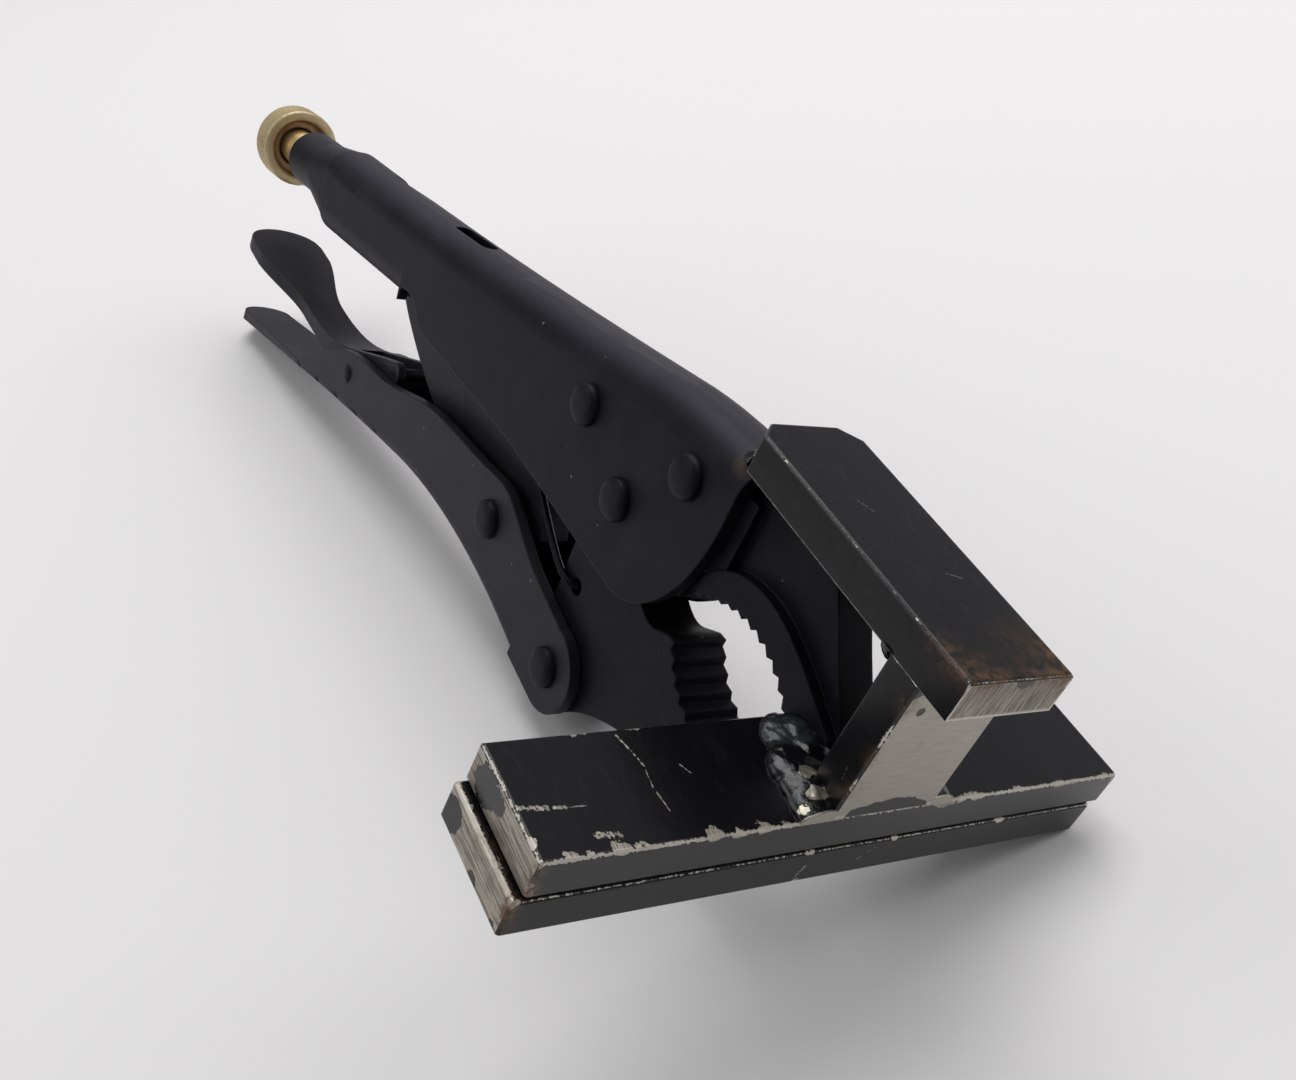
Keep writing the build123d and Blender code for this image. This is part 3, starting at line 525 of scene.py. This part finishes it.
strutWear = dict(
    barWear, steel="#a8a299", edge=0.05, scuff=0.1, gloss=0.3, specular=0.45,
    lines=[((1, 1, 0), (0, -9.5, 0), 0.12)],
    chips=[((0, -9.5, 12), 5.0, 0.5), ((0, -9.5, 22), 5.0, 0.5)],
    scratches=[((-2.0, -9.5, 12.0), (-2.4, -9.5, 14.0), 0.08)],
    bareFaces=[((1, 0, 0), [((0, -6.1, 26.3), 1.2, 1.4), ((0, -9.5, 30.2), 2.6, 1.6),
                            ((0, -6.5, 30.6), 2.2, 1.4), ((0, -5.5, 6.3), 3.0, 1.4),
                            ((0, -2.5, 6.4), 3.6, 1.4), ((0, 0.8, 6.5), 4.0, 1.4),
                            ((0, 4.0, 6.3), 3.8, 1.4), ((0, 6.6, 6.0), 2.8, 1.3)])],
    rust=[((0, -8.6, 27.5), 3.6, 0.8), ((0, -9.4, 18.0), 3.0, 0.8), ((0, -9.4, 12.0), 3.0, 0.6),
          ((0, 9.0, 28.0), 3.0, 0.6)],
    marksStretch=(1.0, 0.07, 1.0), marksContrast=0.16, marksDepth=0.008)
worn = {
    "upper_clamp_bar": ("Chipped enamel on the upper bar", upperBarWear),
    "lower_clamp_bar": ("Chipped enamel on the lower bar", lowerBarWear),
    "brace_bar": ("Chipped enamel on the brace", braceWear),
    "brace_strut": ("Chipped enamel on the strut", strutWear),
}
for node, (name, wear) in worn.items():
    dress(enamelOverSteel(name, node, wear), node)
print("chipped enamel on the bars")

# Weld beads: frozen puddles, some left bare and some under the same enamel.
bead = {
    "voxel": 0.32,             # mm
    "smoothings": 4,
    "ripple": 1.6,             # mm between frozen ripples
    "fineRipple": 0.45,        # size of the finer ripples as a share of those
    "rippleHeight": 0.16,      # mm
    "sunk": 0.3,               # mm that a bead reaches into the face it is laid on
    "groundBack": 0.02,        # mm that its front is ground below flush
    "groundFrom": -0.35,       # x in mm from which the metal shows ground
    "paint": "#0b0b0f",
    "silver": "#3b3f43",       # bare weld metal with a thin grey slag bloom
    "flaked": "#c9c2b0",       # bright metal where the paint has flaked
    "ground": "#a59f96",       # ground flush with the front
    "gloss": 0.16,
    "metalRoughness": 0.34,
    "flake": 0.9,              # mm
    "silverSpots": [((-15.2, -9.4, 8.4), 4.6, 1.8), ((-13.0, -7.6, 9.2), 3.4, 1.2),
                    ((-3.4, -13.6, 7.6), 1.9, 0.9)],
    "flakedSpots": [((-6.5, -10.6, 8.6), 2.6, 0.95), ((-3.0, -11.4, 8.2), 2.6, 0.95),
                    ((-1.4, -13.8, 7.2), 1.8, 0.9), ((-2.9, -9.6, 8.8), 1.8, 0.8),
                    ((-16.6, -4.6, 8.6), 1.6, 0.8), ((-12.6, -5.2, 9.5), 1.4, 0.8)],
}
# Each row in mm: the plane it sits on, 1 up or -1 down, and the x that it is ground back to; then x, y,
# radius and height of each lump.
beadRows = {
    "weld_upper_left": (6.35, 1, 0.0, [
        (-14.4, -7.4, 4.6, 1.9), (-14.2, -5.4, 4.2, 2.9), (-10.6, -6.2, 4.0, 3.1), (-11.8, -8.4, 4.0, 1.9),
        (-8.6, -9.2, 5.2, 2.4), (-5.6, -9.6, 4.9, 2.6), (-2.6, -10.6, 4.3, 2.1), (-0.9, -11.6, 3.2, 1.5)]),
    "weld_upper_right": (6.35, 1, 0.0, [
        (-15.6, 6.2, 3.8, 3.0), (-12.4, 6.8, 4.0, 3.2), (-9.0, 8.4, 4.2, 3.0), (-5.6, 9.6, 4.0, 2.6),
        (-2.2, 10.6, 3.4, 1.6)]),
    "weld_strut_top": (30.8, -1, 0.0, [
        (-7.0, -7.6, 2.3, 2.0), (-6.9, -5.2, 2.6, 2.3), (-6.7, -2.6, 2.5, 2.2), (-6.9, 0.2, 2.7, 2.4),
        (-6.7, 2.9, 2.5, 2.2), (-6.9, 5.6, 2.5, 2.1)]),
    "weld_brace_head": (29.6, 1, -46.7, [
        (-46.9, -4.4, 2.4, 2.0), (-47.1, -2.0, 2.7, 2.4), (-47.0, 0.6, 2.8, 2.5), (-47.1, 3.0, 2.6, 2.3),
        (-46.9, 4.6, 2.3, 2.0)]),
    "weld_lower_left": (-6.35, -1, 0.0, [
        (-16.8, -5.8, 3.2, 2.4), (-14.2, -6.2, 3.5, 2.8), (-11.6, -6.2, 3.3, 2.6)]),
    "weld_lower_right": (-6.35, -1, 0.0, [
        (-16.8, 5.8, 3.2, 2.4), (-14.2, 6.2, 3.5, 2.8), (-11.6, 6.2, 3.3, 2.6)]),
}


def enamelledWeld(name):
    # electric weld metal: glassy lumps with fine ripples, painted, the paint flaked from the highest lumps
    material = startMaterial(name)
    inMm = toMm(material)
    flakes = addNode(material, "TexNoise", {
        "Vector": inMm, "Scale": 1 / bead["flake"], "Detail": 4.0, "Roughness": 0.6})
    clouds = addNode(material, "TexNoise", {"Vector": inMm, "Scale": 0.5, "Detail": 3.0, "Roughness": 0.6})
    flaked = addNode(material, "Math", {
        "operation": "MULTIPLY", 0: nearSpots(material, inMm, bead["flakedSpots"]), 1: flakes})
    bright = addNode(material, "Math", {"operation": "GREATER_THAN", 0: flaked, 1: 0.26})
    bloom = addNode(material, "Math", {
        "operation": "MULTIPLY", 0: nearSpots(material, inMm, bead["silverSpots"]), 1: clouds})
    silver = addNode(material, "MapRange", {"Value": bloom, "From Min": 0.12, "From Max": 0.5})
    reach = addNode(material, "SeparateXYZ", {"Vector": inMm}).node.outputs[0]
    ground = addNode(material, "Math", {"operation": "GREATER_THAN", 0: reach, 1: bead["groundFrom"]})
    colour = addNode(material, "Mix", {
        "data_type": "RGBA", "Factor": silver, "A": toLinear(bead["paint"]), "B": toLinear(bead["silver"])})
    colour = addNode(material, "Mix", {
        "data_type": "RGBA", "Factor": bright, "A": colour, "B": toLinear(bead["flaked"])})
    colour = addNode(material, "Mix", {
        "data_type": "RGBA", "Factor": ground, "A": colour, "B": toLinear(bead["ground"])})
    bare = addNode(material, "Math", {"operation": "MAXIMUM", 0: bright, 1: ground})
    bloomed = addNode(material, "Math", {"operation": "MULTIPLY", 0: silver, 1: 0.6})
    metal = addNode(material, "Math", {"operation": "MAXIMUM", 0: bare, 1: bloomed})
    roughness = addNode(material, "MapRange", {
        "Value": metal, "To Min": bead["gloss"], "To Max": bead["metalRoughness"]})
    relief = addNode(material, "Bump", {"Strength": 0.35, "Distance": 0.3 * mm, "Height": flakes})
    shader = addNode(material, "BsdfPrincipled", {
        "Base Color": colour, "Metallic": metal, "Roughness": roughness, "Normal": relief})
    return finishMaterial(material, shader)


def meltBead(node, material):
    # overlapping flattened balls are fused, smoothed and rippled, then ground back flush in front
    seat, up, front, lumps = beadRows[node]
    shape = bmesh.new()
    for x, y, radius, height in lumps:
        place = Matrix.Translation(Vector((x, y, seat)) * mm) @ Matrix.Diagonal((radius, radius, height, 1))
        bmesh.ops.create_icosphere(shape, subdivisions=4, radius=mm, matrix=place)
    piece = toObject(shape, node + "_melted", material)
    remesh = piece.modifiers.new("remesh", "REMESH")
    remesh.mode = "VOXEL"
    remesh.voxel_size = bead["voxel"] * mm
    depsgraph = bpy.context.evaluated_depsgraph_get()
    melted = bpy.data.meshes.new_from_object(piece.evaluated_get(depsgraph))
    piece.modifiers.clear()
    piece.data = melted
    shape = bmesh.new()
    shape.from_mesh(melted)
    for _ in range(bead["smoothings"]):
        bmesh.ops.smooth_vert(shape, verts=shape.verts, factor=0.5, use_axis_x=True, use_axis_y=True,
                              use_axis_z=True)
    shape.normal_update()
    for vert in shape.verts:
        swell = noise.noise(vert.co / (bead["ripple"] * mm))
        swell += 0.5 * noise.noise(vert.co / (bead["ripple"] * bead["fineRipple"] * mm))
        vert.co += vert.normal * swell * bead["rippleHeight"] * mm
    for face in shape.faces:
        face.smooth = True
    ends = [(((front - bead["groundBack"]) * mm, 0, 0), (1, 0, 0)),
            ((0, 0, (seat - up * bead["sunk"]) * mm), (0, 0, -up))]
    for place, outward in ends:
        for face in cutFlat(shape, place, outward):
            face.smooth = False
    shape.to_mesh(melted)
    shape.free()
    standFor(piece, node)


weldPaint = enamelledWeld("Gloss enamel on weld metal")
for node in beadRows:
    meltBead(node, weldPaint)
print("weld beads")

# Yellow zinc plate on the knob and its screw.
zinc = {
    "colour": "#c6b48d",       # yellow chromate over zinc, faded
    "deep": "#a37d58",         # browner: thicker chromate in blotches, the ring hollow, and painted shade in the recesses
    "roughness": 0.42,
    "metallic": 0.6,           # the chromate film hides part of the metal
    "mottle": 2.2,             # mm
    "grit": 0.35,              # mm, pitting of the plate
    "brownRing": (7.5, 5.1),   # mm, outer and inner radius of the ring hollow, which is coloured brown
}
screwAxis = Vector(jointAt["knob_turn"]["axis"]).normalized()
tubeMouth = Vector(jointAt["knob_turn"]["pos_m"])
squareToScrew = screwAxis.to_track_quat("Z", "Y").to_matrix().to_4x4()


def yellowZinc(name, look):
    # zinc plate with yellow chromate: dull straw colour, blotched, brown in the ring hollow, with painted shade in
    # the recesses
    material = startMaterial(name)
    inMm = toMm(material)
    offset = addNode(material, "VectorMath", {"operation": "SUBTRACT", 0: inMm, 1: tubeMouth / mm})
    fromAxis = addNode(material, "VectorMath", {"operation": "CROSS_PRODUCT", 0: offset, 1: screwAxis})
    radius = addNode(material, "VectorMath", {"operation": "LENGTH", 0: fromAxis}, "Value")
    ringOuter, ringInner = look["brownRing"]
    inside = addNode(material, "MapRange", {
        "Value": radius, "From Min": ringOuter, "From Max": ringOuter - 0.3, "To Max": 0.85})
    outside = addNode(material, "MapRange", {
        "Value": radius, "From Min": ringInner, "From Max": ringInner + 0.4})
    inBrownRing = addNode(material, "Math", {"operation": "MULTIPLY", 0: inside, 1: outside})
    blotches = addNode(material, "TexNoise", {
        "Vector": inMm, "Scale": 1 / look["mottle"], "Detail": 5.0, "Roughness": 0.65})
    fine = addNode(material, "TexNoise", {
        "Vector": inMm, "Scale": 1 / look["grit"], "Detail": 3.0, "Roughness": 0.6})
    # painted shade: the recesses, found by ambient occlusion, are darkened toward brown
    hollows = addNode(material, "AmbientOcclusion", {"samples": 6, "Distance": 3.0 * mm}, "AO")
    paintedShadeAndRing = addNode(material, "MapRange", {"Value": hollows, "From Min": 0.8, "From Max": 0.3, "To Max": 0.9})
    stain = addNode(material, "MapRange", {
        "Value": blotches, "From Min": 0.45, "From Max": 0.75, "To Max": 0.5})
    paintedShadeAndRing = addNode(material, "Math", {"operation": "MAXIMUM", 0: paintedShadeAndRing, 1: inBrownRing})
    brown = addNode(material, "Math", {"operation": "ADD", "use_clamp": True, 0: paintedShadeAndRing, 1: stain})
    colour = addNode(material, "Mix", {
        "data_type": "RGBA", "Factor": brown, "A": toLinear(look["colour"]), "B": toLinear(look["deep"])})
    roughness = addNode(material, "MapRange", {
        "Value": blotches, "From Min": 0.3, "From Max": 0.7, "To Min": look["roughness"] - 0.08,
        "To Max": look["roughness"] + 0.12})
    relief = addNode(material, "Bump", {"Strength": 0.3, "Distance": 0.05 * mm, "Height": fine})
    shader = addNode(material, "BsdfPrincipled", {
        "Base Color": colour, "Metallic": look["metallic"], "Roughness": roughness, "Normal": relief})
    return finishMaterial(material, shader)


knob = {
    "radius": 9.8,
    "thick": 8.0,
    "edge": 0.9,               # rounding of the rim's corners
    "rimSteps": 20,            # rows of points along the straight part of the rim
    "recess": 7.3,             # radius of the ring hollow towards the tool
    "recessDepth": 2.6,
    "boss": 5.2,               # radius at which the hollow meets the screw
    "knurl": 1.3,              # mm between the ridges
    "knurlDepth": 0.28,
    "steps": 240,
}


def spunAbout(profile, steps, turns=1, pitch=0.0):
    # a half profile of (radius, reach) in mm, spun round Z, or swept along it as a helix
    shape = bmesh.new()
    line = [shape.verts.new((radius * mm, 0, reach * mm)) for radius, reach in profile]
    edges = [shape.edges.new(pair) for pair in zip(line, line[1:])]
    bmesh.ops.spin(shape, geom=line + edges, cent=(0, 0, 0), axis=(0, 0, 1), angle=turns * 2 * math.pi,
                   steps=steps, dvec=(0, 0, turns * pitch * mm / steps), use_merge=not pitch)
    bmesh.ops.remove_doubles(shape, verts=shape.verts, dist=weldDistance)
    return shape


def ontoScrew(shape, name, material):
    # the faces are turned outward and the shape is moved from Z onto the screw's axis
    bmesh.ops.recalc_face_normals(shape, faces=shape.faces)
    bmesh.ops.transform(shape, matrix=Matrix.Translation(tubeMouth) @ squareToScrew, verts=shape.verts)
    return toObject(shape, name, material)


def makeKnob():
    # half profile spun round the screw, then the rim's points pressed in along two crossing spirals
    low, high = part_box("knurled_knob")
    rim, thick, edge, recess, boss = (knob[key] for key in ("radius", "thick", "edge", "recess", "boss"))
    rear = ((low + high) / 2 - tubeMouth).dot(screwAxis) / mm - thick / 2
    front = rear + thick
    hollow = front - knob["recessDepth"]
    profile = [(0.0, rear), (rim * 0.55, rear), (rim - edge * 1.6, rear)]
    profile += [(rim - edge + edge * math.sin(a), rear + edge - edge * math.cos(a)) for a in (0.5, 1.0)]
    rows = knob["rimSteps"]
    profile += [(rim, rear + edge + (thick - 2 * edge) * i / rows) for i in range(rows + 1)]
    profile += [(rim - edge + edge * math.cos(a), front - edge + edge * math.sin(a)) for a in (0.6, 1.1)]
    profile += [(recess + 0.5, front), (recess, front - 0.5), (recess - 0.4, hollow), (boss + 0.5, hollow),
                (boss, hollow + 0.3), (boss - 0.1, hollow - 0.3)]
    shape = spunAbout(profile, knob["steps"])
    ridges = round(2 * math.pi * rim / knob["knurl"])
    for vert in shape.verts:
        radius = math.hypot(vert.co.x, vert.co.y) / mm
        if radius < rim - 0.05:
            continue
        reach = vert.co.z / mm - rear
        angle = math.atan2(vert.co.y, vert.co.x)
        lead = reach / knob["knurl"] * math.pi
        one = abs(math.sin(ridges * angle / 2 + lead))
        other = abs(math.sin(ridges * angle / 2 - lead))
        edgeFade = min(1.0, min(reach, thick - reach) / edge - 0.6)
        pressedIn = (1 - min(one, other)) ** 1.5 * knob["knurlDepth"] * max(0.0, edgeFade)
        scale = 1 - pressedIn / radius
        vert.co.x *= scale
        vert.co.y *= scale
    standFor(ontoScrew(shape, "knurled_knob_turned", yellowZinc("Yellow zinc plate on the knob", zinc)),
             "knurled_knob")


makeKnob()
print("knob")

thread = {
    "radius": 4.68,
    "root": 3.85,
    "pitch": 25.4 / 16,        # sixteen turns to the inch
    "flanks": (0.12, 0.45, 0.62),      # shares of the pitch: the crest starts to rise, is reached and ends
    "insets": (1.5, 1.2),      # mm that the cut ends lie inside the piece's box, rear and front
    "steps": 36,
}


def makeScrew():
    # one turn's profile swept as a helix, cut square at both ends
    low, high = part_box("adjusting_screw")
    corners = [Vector((x, 0, z)) for x in (low.x, high.x) for z in (low.z, high.z)]
    reaches = [(corner - tubeMouth).dot(screwAxis) / mm for corner in corners]
    rear, front = min(reaches) + thread["insets"][0], max(reaches) - thread["insets"][1]
    pitch, root, crest = thread["pitch"], thread["root"], thread["radius"]
    turns = math.ceil((front - rear) / pitch) + 2
    start = rear - pitch
    rise, top, fall = thread["flanks"]
    profile = [(root, start), (root, start + rise * pitch), (crest, start + top * pitch),
               (crest, start + fall * pitch), (root, start + pitch)]
    shape = spunAbout(profile, turns * thread["steps"], turns, pitch)
    cutFlat(shape, (0, 0, rear * mm), (0, 0, -1))
    cutFlat(shape, (0, 0, front * mm), (0, 0, 1))
    coat = yellowZinc("Yellow zinc plate on the screw", dict(zinc, colour="#b39a66", mottle=4.0))
    standFor(ontoScrew(shape, "adjusting_screw_threaded", coat), "adjusting_screw")


makeScrew()
print("screw")


wire = {
    "colour": "#19191b",       # blued by its heat treatment and black with oil
    "lines": 0.8,              # mm, length of the drawing lines
    "radius": 0.7,
    "sides": 8,
    "coilRadius": 2.8,
    "pitch": 1.7,              # mm from turn to turn, a little stretched from close wound
    "turnSteps": 8,
    "hook": (-148.6, 4.0),     # x and z of the rear hook, in mm
    "hookHeight": 1.8,
    "ease": 1.5,               # mm of straight wire between the coil and each of its ends
    "roundings": 2,            # times that the corners of the path are cut
    "coilRear": (-141.0, 1.8),
    "coilFront": (-107.4, -7.8),
    "lead": -79.5,             # x from which the wire lies beside the jaw
    "hole": (-72.9, -17.6),
}


def springWire(name):
    # hard-drawn wire, blued and lightly oiled: smooth dark steel with faint lines along it
    material = startMaterial(name)
    streaks = addNode(material, "TexNoise", {
        "Vector": toMm(material), "Scale": 1 / wire["lines"], "Detail": 3.0})
    roughness = addNode(material, "MapRange", {
        "Value": streaks, "From Min": 0.3, "From Max": 0.7, "To Min": 0.3, "To Max": 0.5})
    relief = addNode(material, "Bump", {"Strength": 0.1, "Distance": 0.02 * mm, "Height": streaks})
    shader = addNode(material, "BsdfPrincipled", {
        "Base Color": toLinear(wire["colour"]), "Metallic": 1.0, "Roughness": roughness, "Normal": relief})
    return finishMaterial(material, shader)


def springPath(side):
    # hook, coil, lead and the end that turns into the jaw's hole, with the corners rounded
    rear, front = (Vector((wire[key][0], 0, wire[key][1])) for key in ("coilRear", "coilFront"))
    axis = (front - rear).normalized()
    across = Vector((0, 1, 0))
    up = axis.cross(across)
    steps = round((front - rear).length / wire["pitch"] * wire["turnSteps"])
    hookX, hookZ = wire["hook"]
    holeX, holeZ = wire["hole"]
    path = [Vector((hookX, 0, hookZ + wire["hookHeight"])), Vector((hookX, 0, hookZ)),
            rear - axis * wire["ease"]]
    for step in range(steps + 1):
        turn = 2 * math.pi * step / wire["turnSteps"]
        swing = across * -math.cos(turn) + up * math.sin(turn)
        path.append(rear.lerp(front, step / steps) + swing * wire["coilRadius"])
    path += [front + axis * wire["ease"] - across * wire["coilRadius"], Vector((wire["lead"], -side, holeZ)),
             Vector((holeX, -side, holeZ)), Vector((holeX, -side / 4, holeZ))]
    for _ in range(wire["roundings"]):
        cut = [point for a, b in zip(path, path[1:]) for point in (a.lerp(b, 0.25), a.lerp(b, 0.75))]
        path = [path[0], *cut, path[-1]]
    return path


def makeSpring():
    # a ring of points carried along the path
    low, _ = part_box("jaw_spring")
    path = springPath(-low.y / mm - wire["radius"])
    across = Vector((0, 1, 0))
    shape = bmesh.new()
    rings = []
    angles = [2 * math.pi * i / wire["sides"] for i in range(wire["sides"])]
    for before, point, after in zip(path[:1] + path, path, path[1:] + path[-1:]):
        along = (after - before).normalized()
        across = (across - along * across.dot(along)).normalized()
        up = along.cross(across)
        around = [(across * math.cos(a) + up * math.sin(a)) * wire["radius"] for a in angles]
        rings.append([shape.verts.new((point + spoke) * mm) for spoke in around])
    for ring, nextRing in zip(rings, rings[1:]):
        for i in range(wire["sides"]):
            shape.faces.new((ring[i - 1], ring[i], nextRing[i], nextRing[i - 1]))
    shape.faces.new(rings[0])
    shape.faces.new(rings[-1])
    bmesh.ops.recalc_face_normals(shape, faces=shape.faces)
    piece = toObject(shape, "jaw_spring_wound", springWire("Drawn spring wire"))
    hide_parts("jaw_spring")
    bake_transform(piece)


makeSpring()
print("spring")


# Floor, light and camera.
stage = {
    "floor": "#e9e7e7",
    "floorRadius": 3.0,
    "pivotRest": (-3.7, 7.3, -8.6),    # mm from the handle's pivot to the point it rests on
    "tailRest": (2.0, 5.0),            # mm from the handle's rear end, and across it
    "gap": 0.1,                        # mm between the tool and the floor
    "lights": {                        # metres from the object: right, to the camera, up; then size and power
        "key light": ((0.1, -0.7, 1.35), 1.2, 15.5),
        "side light": ((1.1, -0.2, 1.1), 0.9, 6.0),
        "fill light": ((-1.0, 0.1, 0.8), 0.9, 3.5),
    },
    "world": "#dcdde0",
    "worldStrength": 0.34,
}


def makeFloor():
    # the tool lies on its side, on the lower bar's corner, the pivot end of the handle and the handle's tail
    barLow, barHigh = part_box("lower_clamp_bar")
    handleLow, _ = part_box("moving_handle")
    pivot = Vector(jointAt["handle_hinge"]["pos_m"])
    corner = Vector((barHigh.x, barHigh.y, barLow.z))
    pivotEnd = pivot + Vector(stage["pivotRest"]) * mm
    tail = Vector((handleLow.x + stage["tailRest"][0] * mm, stage["tailRest"][1] * mm, handleLow.z))
    up = (pivotEnd - corner).cross(tail - corner).normalized()
    up = up if up.z > 0 else -up
    shape = bmesh.new()
    bmesh.ops.create_circle(shape, cap_ends=True, segments=96, radius=stage["floorRadius"])
    turn = up.to_track_quat("Z", "Y").to_matrix().to_4x4()
    place = Matrix.Translation(corner - up * stage["gap"] * mm) @ turn
    bmesh.ops.transform(shape, matrix=place, verts=shape.verts)
    material = startMaterial("Matt white paper")
    onFloor = addNode(material, "TexCoord", {}, "Object")
    fibres = addNode(material, "TexNoise", {"Vector": onFloor, "Scale": 1400.0, "Detail": 3.0})
    relief = addNode(material, "Bump", {"Strength": 0.05, "Distance": 0.02 * mm, "Height": fibres})
    paper = addNode(material, "BsdfPrincipled", {
        "Base Color": toLinear(stage["floor"]), "Roughness": 0.85, "Specular IOR Level": 0.2,
        "Normal": relief})
    clear = addNode(material, "BsdfTransparent", {})
    under = addNode(material, "NewGeometry", {}, "Backfacing")     # the floor is clear from below
    finishMaterial(material, addNode(material, "MixShader", {0: under, 1: paper, 2: clear}))
    floor = toObject(shape, "floor", material, smooth=False)
    return up


floorUp = makeFloor()

camera = {
    "place": (79.06, -132.58, 120.95),       # mm
    "turn": (55.415, -21.605, 61.872),       # degrees
    "lens": 38.15,
}
lens = bpy.data.cameras.new("camera")
lens.lens = camera["lens"]
lens.sensor_width = 36
lens.clip_start = 0.01
viewer = bpy.data.objects.new("camera", lens)
viewer.location = Vector(camera["place"]) * mm
viewer.rotation_euler = [math.radians(angle) for angle in camera["turn"]]
bpy.context.scene.collection.objects.link(viewer)
bpy.context.scene.camera = viewer

toCamera = (viewer.location - viewer.location.dot(floorUp) * floorUp).normalized()
toRight = toCamera.cross(floorUp) * -1
middle = (cadBounds[0] + cadBounds[1]) / 2


def addSoftLight(name, place, size, power):
    # a square softbox aimed at the middle of the tool
    light = bpy.data.lights.new(name, "AREA")
    light.shape = "SQUARE"
    light.size = size
    light.energy = power
    box = bpy.data.objects.new(name, light)
    box.location = middle + toRight * place[0] + toCamera * place[1] + floorUp * place[2]
    box.rotation_euler = (box.location - middle).to_track_quat("Z", "Y").to_euler()
    box.visible_camera = False
    bpy.context.scene.collection.objects.link(box)


for name, (place, size, power) in stage["lights"].items():
    addSoftLight(name, place, size, power)
world = bpy.data.worlds.new("studio")
world.use_nodes = True
world.node_tree.nodes["Background"].inputs["Color"].default_value = toLinear(stage["world"])
world.node_tree.nodes["Background"].inputs["Strength"].default_value = stage["worldStrength"]
bpy.context.scene.world = world
bpy.context.scene.view_settings.view_transform = "Standard"
print("floor, lights and camera")
